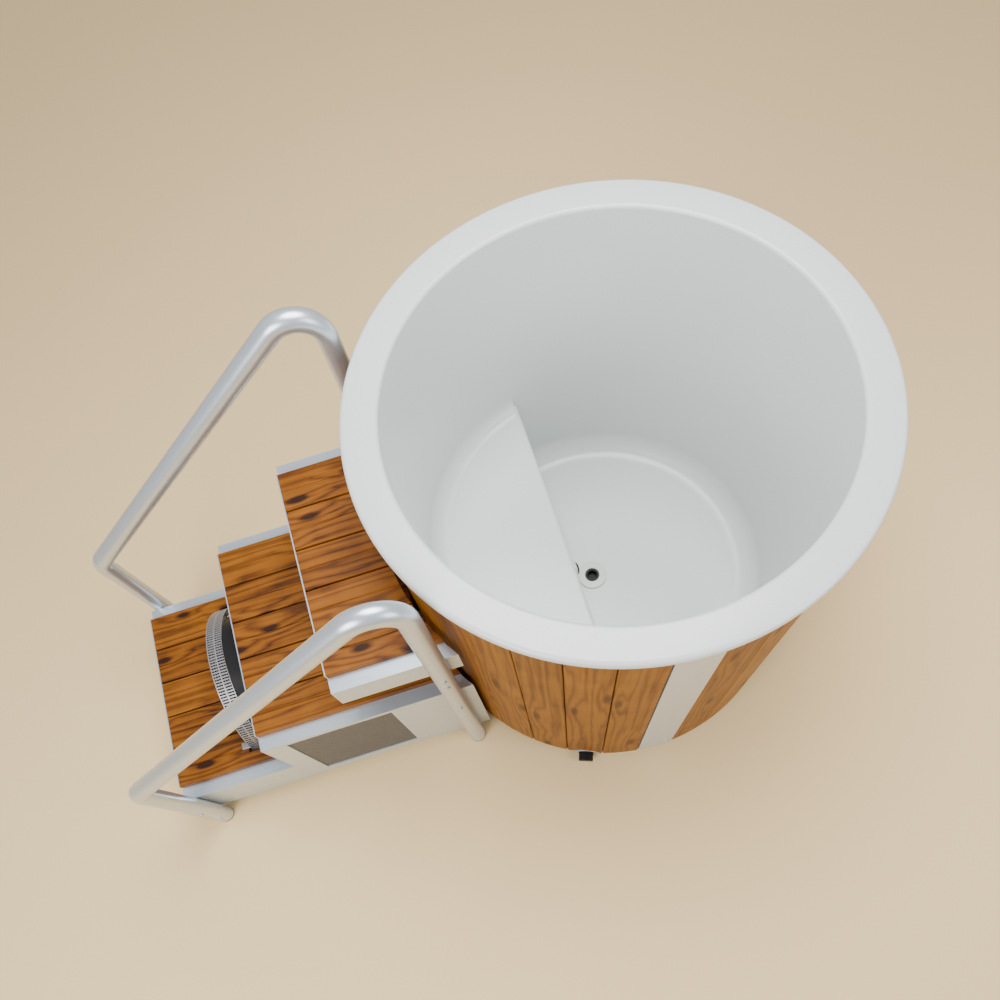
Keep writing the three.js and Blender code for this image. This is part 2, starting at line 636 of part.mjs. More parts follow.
function makeSidePanels() {
  const ventEndX = VENT_FRONT_X + VENT_WIDTH;
  const ventTop = VENT_BOTTOM + VENT_HEIGHT;
  const outerY = -STAIR_HALF - CUT_OVERRUN;
  const vent = solid(block(VENT_FRONT_X, ventEndX, outerY, -INNER_HALF, VENT_BOTTOM, ventTop));
  const panel = (side) => cut(sideSheet(side, BOX_FRONT_X, PANEL_BOTTOM, MIDDLE_DECK, true)(0), tubArc);
  addPiece('side_panel_near', FINISH.sheet, cut(panel(-1), vent));
  addPiece('side_panel_far', FINISH.sheet, panel(1));
}

// The low step's casing is one sheet folded round the front and both sides.
function makeLowStepCasing() {
  const endX = MIDDLE_FRONT_X - FIT;
  const sides = [-1, 1].map((side) => sideSheet(side, LOW_FRONT_X, PANEL_BOTTOM, LOW_DECK, false)(endX));
  const front = solid(prismX(frontShape(PANEL_BOTTOM, LOW_DECK), LOW_FRONT_X, LOW_FRONT_X + SHEET));
  addPiece('low_step_casing', FINISH.sheet, join(front, ...sides));
}

// The top step's frame is a folded front and two cheeks, carried by the rear posts.
function makeTopStepFrame() {
  const cheekBottom = TOP_DECK - CHEEK_DEPTH;
  const cheeks = [-1, 1].map((side) => sideSheet(side, TOP_FRONT_X, cheekBottom, TOP_DECK, false)(0));
  const front = solid(prismX(frontShape(cheekBottom, TOP_DECK), TOP_FRONT_X, TOP_FRONT_X + SHEET));
  addPiece('top_step_frame', FINISH.sheet, cut(join(front, ...cheeks), tubArc));
}

function makeRiserPanel() {
  const shape = frontShape(PANEL_BOTTOM, MIDDLE_DECK);
  shape.holes.push(new THREE.Path().absarc(0, FAN_HEIGHT, FAN_OPENING_RADIUS, 0, 2 * Math.PI));
  addPiece('riser_panel', FINISH.sheet, prismX(shape, MIDDLE_FRONT_X, MIDDLE_FRONT_X + SHEET, 16));
}

function makeBaseTray() {
  const tray = solid(block(BOX_FRONT_X, 0, -INNER_HALF, INNER_HALF, TRAY_BOTTOM, TRAY_TOP));
  addPiece('base_tray', FINISH.sheet, cut(tray, tubArc));
}

// The rear panel is rolled to follow the tub and lets the water pipes through.
function makeRearPanel() {
  const inner = REAR_ARC_RADIUS + REAR_PANEL_INSET;
  const outer = inner + SHEET;
  const halfAngle = Math.asin((INNER_HALF - FIT) / outer);
  const outline = [
    ...arc(0, 0, outer, Math.PI - halfAngle, Math.PI + halfAngle, 12),
    ...arc(0, 0, inner, Math.PI + halfAngle, Math.PI - halfAngle, 12),
  ];
  const panel = solid(prismZ(new THREE.Shape(outline), INSIDE_FLOOR, MIDDLE_DECK - SHEET - FIT));
  addPiece('rear_panel', FINISH.sheet, cut(panel, intakeHole, returnHole));
}

function makeVentScreen() {
  const innerY = -INNER_HALF + SCREEN_SHEET;
  const sheet = block(VENT_FRONT_X - VENT_MARGIN, VENT_FRONT_X + VENT_WIDTH + VENT_MARGIN, -INNER_HALF, innerY,
    VENT_BOTTOM - VENT_MARGIN, VENT_BOTTOM + VENT_HEIGHT + VENT_MARGIN);
  const columnPitch = VENT_WIDTH / SCREEN_COLUMNS;
  const rowPitch = VENT_HEIGHT / SCREEN_ROWS;
  const slots = [];
  for (let column = 0; column < SCREEN_COLUMNS; column += 1) {
    for (let row = 0; row < SCREEN_ROWS; row += 1) {
      const x = VENT_FRONT_X + column * columnPitch + SCREEN_BAR / 2;
      const z = VENT_BOTTOM + row * rowPitch + SCREEN_BAR / 2;
      const endX = x + columnPitch - SCREEN_BAR;
      const slot = block(x, endX, -INNER_HALF - BITE, innerY + BITE, z, z + rowPitch - SCREEN_BAR);
      slots.push(solid(slot));
    }
  }
  addPiece('vent_screen', FINISH.screen, cut(solid(sheet), ...slots));
}

// Treads: boards that run with the direction of travel, screwed down on cross battens.
function boardShape(centreY, deck) {
  const half = (BOARD_PITCH - BOARD_GAP) / 2;
  const top = deck + BOARD_THICKNESS;
  const outline = [
    point(centreY - half, deck + FIT),
    point(centreY + half, deck + FIT),
    ...arc(centreY + half - BOARD_ROUND, top - BOARD_ROUND, BOARD_ROUND, 0, Math.PI / 2, 2),
    point(centreY + GROOVE_WIDTH / 2, top),
    point(centreY, top - GROOVE_DEPTH),
    point(centreY - GROOVE_WIDTH / 2, top),
    ...arc(centreY - half + BOARD_ROUND, top - BOARD_ROUND, BOARD_ROUND, Math.PI / 2, Math.PI, 2),
  ];
  return new THREE.Shape(outline);
}

function makeTread(name, frontX, endX, deck, battenCount, battenSpan, cutter) {
  const boards = [];
  for (let i = 0; i < BOARD_COUNT; i += 1) {
    const centreY = (i - (BOARD_COUNT - 1) / 2) * BOARD_PITCH;
    boards.push(solid(prismX(boardShape(centreY, deck), frontX + SHEET + FIT, endX)));
  }
  const battenHalf = STAIR_HALF - FLANGE_WIDTH - FIT;
  const firstBatten = frontX + SHEET + BATTEN_END_MARGIN;
  const spacing = (battenSpan - BATTEN_WIDTH) / (battenCount - 1);
  const battens = [];
  for (let i = 0; i < battenCount; i += 1) {
    const x = firstBatten + i * spacing;
    const top = deck + FIT + BITE;
    const batten = block(x, x + BATTEN_WIDTH, -battenHalf, battenHalf, deck - BATTEN_THICKNESS, top);
    battens.push(solid(batten));
  }
  addPiece(name, FINISH.tread, cut(join(...boards, ...battens), cutter));
}

function makeTreads() {
  const notchHalf = Math.sqrt(GUARD_RADIUS ** 2 - (GUARD_BOTTOM - GUARD_AXIS_HEIGHT) ** 2) + NOTCH_CLEARANCE;
  const notch = solid(block(GUARD_FRONT_X - NOTCH_CLEARANCE, 0, -notchHalf, notchHalf, 0, MIDDLE_DECK));
  const rearX = -REAR_ARC_RADIUS + TUB_GAP;
  const lowSpan = GUARD_FRONT_X - NOTCH_CLEARANCE - LOW_FRONT_X - 2 * BATTEN_END_MARGIN;
  const middleSpan = rearX - MIDDLE_FRONT_X - 2 * BATTEN_END_MARGIN;
  const topSpan = rearX - TOP_FRONT_X - 2 * BATTEN_END_MARGIN;
  makeTread('low_tread', LOW_FRONT_X, MIDDLE_FRONT_X - FIT, LOW_DECK, 2, lowSpan, notch);
  makeTread('middle_tread', MIDDLE_FRONT_X, 0, MIDDLE_DECK, 3, middleSpan, tubArc);
  makeTread('top_tread', TOP_FRONT_X, 0, TOP_DECK, 2, topSpan, tubArc);
}

// Handrails: one bent tube on each side, whose posts are also the stair unit's feet.
function makeHandrail(name, side) {
  const y = side * (STAIR_HALF + RAIL_RADIUS + FIT);
  const corners = [
    at(FRONT_POST_X, y, 0),
    at(FRONT_POST_X, y, LOWER_CORNER_HEIGHT),
    at(REAR_POST_X, y, UPPER_CORNER_HEIGHT),
    at(REAR_POST_X, y, 0),
  ];
  const path = new BentPath(corners, [LOWER_BEND_RADIUS, UPPER_BEND_RADIUS], 6);
  const section = circleShape(0, 0, RAIL_RADIUS, RAIL_RADIUS - RAIL_WALL);
  const sweep = { steps: path.steps, extrudePath: path, bevelEnabled: false, curveSegments: RAIL_SIDES / 2 };
  addPiece(name, FINISH.rail, new THREE.ExtrudeGeometry(section, sweep));
}

// Fan: a shroud ring with struts on the riser, a motor behind it and a bladed rotor inside the ring.
const shaftHoleTo = (endX) => {
  const radius = SHAFT_RADIUS + RUNNING_CLEARANCE;
  return solid(rod(radius, at(SHROUD_FRONT_X, 0, FAN_HEIGHT), at(endX, 0, FAN_HEIGHT)));
};

function makeFanShroud() {
  const ring = solid(prismX(circleShape(0, FAN_HEIGHT, FAN_OPENING_RADIUS + SHROUD_WALL, FAN_OPENING_RADIUS),
    SHROUD_FRONT_X, SHROUD_BACK_X, 16));
  const strutFrontX = SHROUD_BACK_X - STRUT_THICKNESS;
  const plate = solid(prismX(circleShape(0, FAN_HEIGHT, MOTOR_RADIUS), strutFrontX, SHROUD_BACK_X, 12));
  const struts = [];
  for (let i = 0; i < STRUT_COUNT; i += 1) {
    const half = STRUT_WIDTH / 2;
    const strut = block(strutFrontX, SHROUD_BACK_X, -half, half, 0, FAN_OPENING_RADIUS + BITE);
    strut.rotateX(Math.PI / STRUT_COUNT + (i * 2 * Math.PI) / STRUT_COUNT).translate(0, 0, FAN_HEIGHT);
    struts.push(solid(strut));
  }
  addPiece('fan_shroud', FINISH.blackPlastic, cut(join(ring, plate, ...struts), shaftHoleTo(0)));
}

function makeFanMotor() {
  const frontX = SHROUD_BACK_X + FIT;
  const back = at(frontX + MOTOR_LENGTH, 0, FAN_HEIGHT);
  const motor = solid(rod(MOTOR_RADIUS, at(frontX, 0, FAN_HEIGHT), back, 28));
  addPiece('fan_motor', FINISH.machine, cut(motor, shaftHoleTo(frontX + MOTOR_LENGTH / 2)));
}

function makeFanRotor() {
  const backX = SHROUD_BACK_X - STRUT_THICKNESS - ROTOR_GAP;
  const frontX = backX - ROTOR_DEPTH;
  const shaftEndX = SHROUD_BACK_X + MOTOR_LENGTH / 2 - RUNNING_CLEARANCE;
  const hub = solid(rod(MOTOR_RADIUS, at(frontX, 0, 0), at(backX, 0, 0), 28));
  const shaft = solid(rod(SHAFT_RADIUS, at(backX - BITE, 0, 0), at(shaftEndX, 0, 0), 16));
  const tip = FAN_OPENING_RADIUS - BLADE_TIP_GAP;
  const root = MOTOR_RADIUS * 0.6;
  const half = BLADE_CHORD / 2;
  const outline = new THREE.Shape([point(-half * 0.5, root), point(half * 0.5, root)]);
  outline.quadraticCurveTo(half * 1.1, (root + tip) / 2, half, tip * 0.86);
  outline.quadraticCurveTo(half * 0.4, tip, -half * 0.5, tip * 0.96);
  outline.quadraticCurveTo(-half * 0.7, (root + tip) / 2, -half * 0.5, root);
  const blades = [];
  for (let i = 0; i < BLADE_COUNT; i += 1) {
    const blade = extruded(outline, BLADE_THICKNESS, 5).translate(0, 0, -BLADE_THICKNESS / 2);
    blade.rotateX(Math.PI / 2).rotateZ(Math.PI / 2 - THREE.MathUtils.degToRad(BLADE_PITCH_DEGREES));
    blade.rotateX((i * 2 * Math.PI) / BLADE_COUNT).translate((frontX + backX) / 2, 0, 0);
    blades.push(solid(blade));
  }
  addPiece('fan_rotor', FINISH.blackPlastic, join(hub, shaft, ...blades).translate([0, 0, FAN_HEIGHT]));
}

// Guard: an arched hood of slotted sheet that stands on the low tread in front of the fan.
function guardOutline(radius) {
  const lowAngle = Math.asin((GUARD_BOTTOM - GUARD_AXIS_HEIGHT) / radius);
  return arc(0, GUARD_AXIS_HEIGHT, radius, lowAngle, Math.PI - lowAngle, 24);
}

function guardFace() {
  const outline = new THREE.Shape(guardOutline(GUARD_RADIUS - GUARD_SHEET / 2));
  const face = solid(prismX(outline, GUARD_FRONT_X, GUARD_FRONT_X + GUARD_SHEET));
  const count = Math.floor((GUARD_RADIUS - 2 * GUARD_SLOT_MARGIN) / GUARD_SLOT_PITCH);
  const half = GUARD_SLOT_WIDTH / 2;
  const slots = [];
  for (let i = -count; i <= count; i += 1) {
    const y = i * GUARD_SLOT_PITCH;
    const top = GUARD_AXIS_HEIGHT + Math.sqrt(GUARD_RADIUS ** 2 - y ** 2) - GUARD_SLOT_MARGIN;
    const slot = block(GUARD_FRONT_X - BITE, GUARD_BACK_X, y - half, y + half, LOW_TREAD_HEIGHT, top);
    slots.push(solid(slot));
  }
  return cut(face, ...slots);
}

function guardHoodSlots() {
  const slots = [];
  const middleX = (GUARD_FRONT_X + GUARD_BACK_X) / 2;
  const halfLength = GUARD_DEPTH / 2 - GUARD_SLOT_WIDTH;
  const stepAngle = GUARD_SLOT_PITCH / GUARD_RADIUS;
  const lowAngle = Math.asin((LOW_TREAD_HEIGHT - GUARD_AXIS_HEIGHT) / GUARD_RADIUS) + stepAngle;
  const count = Math.floor((Math.PI / 2 - lowAngle) / stepAngle);
  for (let i = -count; i <= count; i += 1) {
    const half = GUARD_SLOT_WIDTH / 2;
    const slot = block(-halfLength, halfLength, -half, half, -CUT_OVERRUN, CUT_OVERRUN);
    slot.translate(middleX, 0, GUARD_RADIUS).rotateX(i * stepAngle).translate(0, 0, GUARD_AXIS_HEIGHT);
    slots.push(solid(slot));
  }
  return slots;
}

function makeFanGuard() {
  const inside = guardOutline(GUARD_RADIUS - GUARD_SHEET).reverse();
  const band = new THREE.Shape([...guardOutline(GUARD_RADIUS), ...inside]);
  const hood = cut(solid(prismX(band, GUARD_FRONT_X, GUARD_BACK_X)), ...guardHoodSlots());
  const footZ = LOW_TREAD_HEIGHT + FIT;
  const footY = Math.sqrt((GUARD_RADIUS - GUARD_SHEET / 2) ** 2 - (footZ - GUARD_AXIS_HEIGHT) ** 2);
  const feet = [-1, 1].map((side) => {
    const edges = [side * footY, side * (footY - GUARD_FOOT_WIDTH)].sort((a, b) => a - b);
    const frontX = GUARD_FRONT_X - GUARD_FOOT_LENGTH;
    return solid(block(frontX, GUARD_FRONT_X + GUARD_SHEET, edges[0], edges[1], footZ, footZ + GUARD_SHEET));
  });
  addPiece('fan_guard', FINISH.screen, join(hood, guardFace(), ...feet));
}

// Chiller: condenser behind the vent, compressor, heat exchanger and circulation pump on the tray.
function makeCondenser() {
  const backY = -INNER_HALF + SCREEN_SHEET + FIT + CONDENSER_DEPTH;
  const finRootY = backY - CONDENSER_BACK;
  const finTipY = backY - CONDENSER_DEPTH;
  const pitch = (VENT_WIDTH - CONDENSER_FIN) / (CONDENSER_FINS - 1);
  const outline = [point(VENT_FRONT_X + VENT_WIDTH, backY), point(VENT_FRONT_X, backY)];
  for (let i = 0; i < CONDENSER_FINS; i += 1) {
    const x = VENT_FRONT_X + i * pitch;
    if (i > 0) outline.push(point(x, finRootY));
    outline.push(point(x, finTipY), point(x + CONDENSER_FIN, finTipY));
    if (i < CONDENSER_FINS - 1) outline.push(point(x + CONDENSER_FIN, finRootY));
  }
  addPiece('condenser', FINISH.machine, prismZ(new THREE.Shape(outline), INSIDE_FLOOR, CONDENSER_TOP));
}

function makeCompressor() {
  const shoulder = COMPRESSOR_TOP - COMPRESSOR_DOME;
  const dome = [];
  for (let i = 0; i <= 5; i += 1) {
    const angle = (i * Math.PI) / 10;
    dome.push(point(COMPRESSOR_RADIUS * Math.cos(angle), shoulder + COMPRESSOR_DOME * Math.sin(angle)));
  }
  dome[5].x = 0;
  const profile = [
    point(0, INSIDE_FLOOR),
    point(COMPRESSOR_RADIUS + COMPRESSOR_BASE, INSIDE_FLOOR),
    point(COMPRESSOR_RADIUS + COMPRESSOR_BASE, INSIDE_FLOOR + COMPRESSOR_BASE),
    point(COMPRESSOR_RADIUS, INSIDE_FLOOR + COMPRESSOR_BASE),
    ...dome,
  ];
  addPiece('compressor', FINISH.machine, turned(profile, 20).translate(COMPRESSOR_X, COMPRESSOR_Y, 0));
}

function makeHeatExchanger() {
  const neck = EXCHANGER_RADIUS - EXCHANGER_CAP / 2;
  const profile = [
    point(0, INSIDE_FLOOR),
    point(EXCHANGER_RADIUS, INSIDE_FLOOR),
    point(EXCHANGER_RADIUS, EXCHANGER_TOP - EXCHANGER_CAP),
    point(neck, EXCHANGER_TOP - EXCHANGER_CAP),
    point(neck, EXCHANGER_TOP),
    point(0, EXCHANGER_TOP),
  ];
  addPiece('heat_exchanger', FINISH.machine, turned(profile, 20).translate(EXCHANGER_X, RETURN_Y, 0));
}

function makePump() {
  const middleX = PUMP_FRONT_X - PUMP_LENGTH;
  const backX = middleX - PUMP_MOTOR_LENGTH;
  const onAxis = (x) => at(x, DRAIN_Y, INTAKE_HEIGHT);
  const volute = solid(rod(PUMP_RADIUS, onAxis(PUMP_FRONT_X), onAxis(middleX), 28));
  const motor = solid(rod(PUMP_MOTOR_RADIUS, onAxis(middleX + BITE), onAxis(backX), 28));
  const footEnd = backX + PUMP_MOTOR_LENGTH / 4;
  const half = PUMP_FOOT_WIDTH / 2;
  const foot = block(footEnd, middleX, DRAIN_Y - half, DRAIN_Y + half, INSIDE_FLOOR, INTAKE_HEIGHT);
  addPiece('circulation_pump', FINISH.machine, join(volute, motor, solid(foot)));
}

makeTubShell();
makePlinth();
makeCladding();
makeDrain();
makeValveHandle();
makeReturnLine();
makeSidePanels();
makeLowStepCasing();
makeRiserPanel();
makeBaseTray();
makeRearPanel();
makeTopStepFrame();
makeVentScreen();
makeTreads();
makeHandrail('handrail_near', -1);
makeHandrail('handrail_far', 1);
makeFanShroud();
makeFanMotor();
makeFanRotor();
makeFanGuard();
makeCondenser();
makeCompressor();
makeHeatExchanger();
makePump();

export default coldPlungeTub;
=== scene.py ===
# %% [markdown]
# # A cold plunge tub
# The CAD model already has every piece at its real size, in metres. This lesson dresses it: it loads the
# frame, sets the camera of the photograph, lays out finishes that follow each board and sheet, and models
# the pieces whose curves or fine detail deserve a denser mesh than the solids have.

# %% Load the frame
import json
import math
from contextlib import contextmanager

import bpy
from mathutils import Matrix, Vector

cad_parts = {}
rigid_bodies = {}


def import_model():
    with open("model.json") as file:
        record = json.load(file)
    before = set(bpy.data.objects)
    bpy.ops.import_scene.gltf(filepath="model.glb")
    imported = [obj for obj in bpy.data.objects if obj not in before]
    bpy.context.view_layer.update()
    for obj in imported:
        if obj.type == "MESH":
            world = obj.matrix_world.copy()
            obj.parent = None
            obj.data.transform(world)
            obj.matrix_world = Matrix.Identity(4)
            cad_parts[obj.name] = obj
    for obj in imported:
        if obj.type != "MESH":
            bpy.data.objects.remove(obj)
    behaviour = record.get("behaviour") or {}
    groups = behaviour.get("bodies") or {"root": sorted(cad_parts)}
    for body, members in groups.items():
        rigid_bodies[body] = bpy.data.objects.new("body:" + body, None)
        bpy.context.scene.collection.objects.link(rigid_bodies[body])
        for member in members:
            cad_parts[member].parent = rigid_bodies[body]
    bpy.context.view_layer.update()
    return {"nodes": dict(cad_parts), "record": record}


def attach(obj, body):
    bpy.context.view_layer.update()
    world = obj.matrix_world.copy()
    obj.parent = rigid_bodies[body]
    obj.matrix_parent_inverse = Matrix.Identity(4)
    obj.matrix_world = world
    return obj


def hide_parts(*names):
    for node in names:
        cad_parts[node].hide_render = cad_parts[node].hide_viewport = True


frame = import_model()
print("nodes:", len(frame["nodes"]))

# %% [markdown]
# ## Camera
# The photograph looks steeply down on the tub through a wide lens and was cropped afterwards, so the
# optical centre is not the middle of the picture. A shifted lens repeats that crop without bending lines.

# %% Place the camera
CAMERA_PLACE = Vector((-0.3980, -0.9354, 2.3187))
CAMERA_FORWARD = Vector((0.01924, 0.26466, -0.96415))
CAMERA_RIGHT = Vector((0.95307, -0.29626, -0.06230))
SENSOR_WIDTH, FOCAL_LENGTH = 36.0, 25.585  # millimetres
LENS_SHIFT = (-0.030, 0.201)  # parts of the picture's width

camera_data = bpy.data.cameras.new("camera")
camera_data.sensor_width = SENSOR_WIDTH
camera_data.lens = FOCAL_LENGTH
camera_data.shift_x, camera_data.shift_y = LENS_SHIFT
camera = bpy.data.objects.new("camera", camera_data)
bpy.context.scene.collection.objects.link(camera)
back = -CAMERA_FORWARD.normalized()
right = (CAMERA_RIGHT - back * CAMERA_RIGHT.dot(back)).normalized()
up = back.cross(right)
camera.matrix_world = Matrix.Translation(CAMERA_PLACE) @ Matrix((right, up, back)).transposed().to_4x4()
bpy.context.scene.camera = camera
print("camera at", tuple(round(c, 3) for c in camera.location))

# %% [markdown]
# ## Node graphs in few lines
# Every finish is a small node graph on object coordinates. All pieces share the tub's own frame, so one
# graph can tell a board or stave from its neighbour by place alone. The helper adds a node, links the
# sockets it is given and sets the rest.

# %% Helpers for finishes
NOISE_ROUGHNESS = 0.55


class Graph:
    def __init__(self, name, roughness, metallic=0.0, specular=0.5):
        self.material = bpy.data.materials.new(name)
        self.material.use_nodes = True
        self.tree = self.material.node_tree
        self.shader = self.tree.nodes["Principled BSDF"]
        self.shader.inputs["Roughness"].default_value = roughness
        self.shader.inputs["Metallic"].default_value = metallic
        self.shader.inputs["Specular IOR Level"].default_value = specular
        self.place = self.add("ShaderNodeTexCoord").outputs["Object"]

    def add(self, kind, settings=None, **sockets):
        # A socket is given by its label, or by its place in the list as i0, i1 and so on.
        node = self.tree.nodes.new(kind)
        for key, value in (settings or {}).items():
            setattr(node, key, value)
        for key, value in sockets.items():
            self.feed(node.inputs[int(key[1:]) if key[0] == "i" and key[1:].isdigit() else key], value)
        return node

    def feed(self, socket, value):
        if isinstance(value, bpy.types.NodeSocket):
            self.tree.links.new(value, socket)
        else:
            socket.default_value = value

    def axes(self):
        return self.add("ShaderNodeSeparateXYZ", None, Vector=self.place).outputs

    def vector(self, x, y, z):
        return self.add("ShaderNodeCombineXYZ", None, X=x, Y=y, Z=z).outputs[0]

    def maths(self, operation, a, b=0.0):
        return self.add("ShaderNodeMath", {"operation": operation}, i0=a, i1=b).outputs[0]

    def plus(self, a, b):
        return self.maths("ADD", a, b)

    def times(self, a, b):
        return self.maths("MULTIPLY", a, b)

    def noise(self, vector, detail, scale=1.0):
        return self.add("ShaderNodeTexNoise", None, Vector=vector, Scale=scale, Detail=detail,
                        Roughness=NOISE_ROUGHNESS).outputs["Fac"]

    def fade(self, value, start, end, first, last):
        return self.add("ShaderNodeMapRange", None, Value=value, i1=start, i2=end, i3=first, i4=last).outputs[0]

    def ramp(self, factor, stops):
        node = self.add("ShaderNodeValToRGB", None, Fac=factor)
        elements = node.color_ramp.elements
        while len(elements) < len(stops):
            elements.new(0.5)
        for element, (position, color) in zip(elements, stops):
            element.position = position
            element.color = (*color, 1.0)
        return node.outputs["Color"]

    def shades(self, factor, color, depth):
        low = tuple(c * (1.0 - depth) for c in color)
        self.color(self.ramp(factor, [(0.3, low), (0.7, color)]))

    def bump(self, height, strength, distance):
        node = self.add("ShaderNodeBump", None, Height=height, Strength=strength, Distance=distance)
        self.feed(self.shader.inputs["Normal"], node.outputs[0])

    def color(self, value):
        self.feed(self.shader.inputs["Base Color"], value)


# %% [markdown]
# ## Wood
# Staves stand on end and treads lie flat, so their grain runs along Z and along X. Each board gets its own
# shade and its own stretch of grain: the board's number, worked out from the angle round the tub or the
# distance across the stair, seeds a random value that shifts both. Knots are cells of a stretched pattern:
# they darken the wood and pull the grain lines round themselves.

# %% Wood finishes
BOARD_SHIFT = 37.0  # spreads the boards' stretches of grain apart
RING_RATE = 120.0  # how close the grain lines lie across a board
WANDER_RATES, WANDER = (1.6, 26.0), 9.0  # rates along and across a board, and how far the lines wander
FIBRE_RATES, BLOTCH_RATES, KNOTS_ACROSS = (10.0, 420.0), (9.0, 7.0), 8.0
KNOT_DARK = (0.04, 0.11, 0.3, 1.0)  # two distances from a knot's heart, and the factor at each of them
KNOT_PULL = (0.03, 0.35, 3.5, 0.0)
RING_SHARE, FIBRE_SHARE, BLOTCH_SHARE, BOARD_SHARE = 0.30, 0.30, 0.45, 0.16


def wood(name, lengthwise, across, number, knots_along, tones):
    graph = Graph(name, 0.5, specular=0.25)
    axes = graph.axes()
    chance = graph.add("ShaderNodeTexWhiteNoise", {"noise_dimensions": "1D"}, W=number(graph, axes)).outputs[0]
    shift = graph.times(chance, BOARD_SHIFT)
    along, sideways = graph.plus(lengthwise(graph, axes), shift), across(graph, axes)

    def spread(along_rate, sideways_rate):
        return graph.vector(graph.times(along, along_rate), graph.times(sideways, sideways_rate), shift)

    knots = graph.add("ShaderNodeTexVoronoi", {"voronoi_dimensions": "2D"},
                      Vector=spread(knots_along, KNOTS_ACROSS), Scale=1.0).outputs["Distance"]
    knot_dark = graph.fade(knots, *KNOT_DARK)
    knot_pull = graph.fade(knots, *KNOT_PULL)
    wander = graph.plus(graph.times(graph.noise(spread(*WANDER_RATES), detail=3.0), WANDER), knot_pull)
    rings = graph.maths("ABSOLUTE", graph.maths("SINE", graph.plus(graph.times(sideways, RING_RATE), wander)))
    fibres = graph.noise(spread(*FIBRE_RATES), detail=2.0)
    blotches = graph.noise(spread(*BLOTCH_RATES), detail=3.0)
    figure = graph.times(graph.maths("SUBTRACT", chance, 0.5), BOARD_SHARE)
    for part, share in ((rings, RING_SHARE), (fibres, FIBRE_SHARE), (blotches, BLOTCH_SHARE)):
        figure = graph.plus(figure, graph.times(part, share))
    graph.color(graph.ramp(graph.times(figure, knot_dark), tones))
    graph.bump(fibres, strength=0.25, distance=0.0006)
    return graph.material


STAVE_PITCH = 2.0 * math.pi / 32.0
STAVE_START = math.radians(-97.0)
CLADDING_RADIUS = 0.581
BOARD_PITCH = 0.116
STEP_RISE = 0.2351
ROWS_APART = 11.0  # keeps one step's board numbers clear of the next step's


def angle_round_tub(graph, axes):
    return graph.maths("ARCTAN2", axes["Y"], axes["X"])


def stave_number(graph, axes):
    turned = graph.maths("SUBTRACT", angle_round_tub(graph, axes), STAVE_START)
    return graph.maths("FLOOR", graph.maths("DIVIDE", turned, STAVE_PITCH))


def round_the_tub(graph, axes):
    return graph.times(angle_round_tub(graph, axes), CLADDING_RADIUS)


def board_number(graph, axes):
    row = graph.maths("FLOOR", graph.plus(graph.maths("DIVIDE", axes["Y"], BOARD_PITCH), 0.5))
    level = graph.maths("FLOOR", graph.maths("DIVIDE", axes["Z"], STEP_RISE))
    return graph.plus(row, graph.times(level, ROWS_APART))


stave_wood = wood("stave_wood", lambda g, a: a["Z"], round_the_tub, stave_number, 2.0,
                  [(0.10, (0.04, 0.009, 0.001)), (0.46, (0.19, 0.064, 0.004)), (0.80, (0.31, 0.12, 0.009))])
tread_wood = wood("tread_wood", lambda g, a: a["X"], lambda g, a: a["Y"], board_number, 3.0,
                  [(0.22, (0.025, 0.006, 0.001)), (0.5, (0.17, 0.050, 0.002)), (0.78, (0.31, 0.105, 0.006))])
print("wood finishes:", stave_wood.name, tread_wood.name)

# %% [markdown]
# ## Moulded shell, metal and plastics
# The shell is a glossy white moulding. The steel is satin with fine brush lines along the stair. Plastics and
# the dark base are plain. The record names a material slot for each node, and each slot has one finish here.

# %% Plain finishes
GRAIN_SCALE = 60.0
BRUSH_ALONG, BRUSH_ACROSS, BRUSH_DEPTH = 6.0, 500.0, 0.1


def plain(name, color, roughness, metallic=0.0, grain=0.0, specular=0.5):
    graph = Graph(name, roughness, metallic, specular)
    graph.shades(graph.noise(graph.place, detail=4.0, scale=GRAIN_SCALE), color, grain)
    return graph.material


def brushed(name, color, roughness, metallic):
    graph = Graph(name, roughness, metallic)
    axes = graph.axes()
    lines_at = graph.vector(graph.times(axes["X"], BRUSH_ALONG), graph.times(axes["Y"], BRUSH_ACROSS),
                            graph.times(axes["Z"], BRUSH_ACROSS))
    lines = graph.noise(lines_at, detail=2.0)
    graph.shades(lines, color, BRUSH_DEPTH)
    graph.bump(lines, strength=0.06, distance=0.0003)
    return graph.material


FINISHES = {
    "shell": plain("shell_white", (0.655, 0.685, 0.675), 0.22),
    "stave_wood": stave_wood,
    "tread_wood": tread_wood,
    "sheet_steel": brushed("sheet_steel", (0.62, 0.69, 0.76), 0.36, 0.66),
    "rail_steel": brushed("rail_steel", (0.64, 0.70, 0.76), 0.32, 0.75),
    "screen_metal": plain("screen_metal", (0.17, 0.17, 0.175), 0.45, 0.6, 0.1),
    "guard_metal": plain("guard_metal", (0.40, 0.39, 0.40), 0.42, 0.7, 0.08),
    "black_plastic": plain("black_plastic", (0.012, 0.012, 0.013), 0.45, 0.0, 0.1, specular=0.2),
    "white_plastic": plain("white_plastic", (0.66, 0.67, 0.61), 0.4, 0.0, 0.04),
    "plinth_plastic": plain("plinth_plastic", (0.03, 0.03, 0.032), 0.6, 0.0, 0.1),
    "machine_metal": plain("machine_metal", (0.03, 0.032, 0.035), 0.45, 0.3, 0.1),
}

for subpart in frame["record"]["subparts"]:
    node = bpy.data.objects[subpart["node"]]
    node.data.materials.clear()
    node.data.materials.append(FINISHES[subpart["material_slot"]])
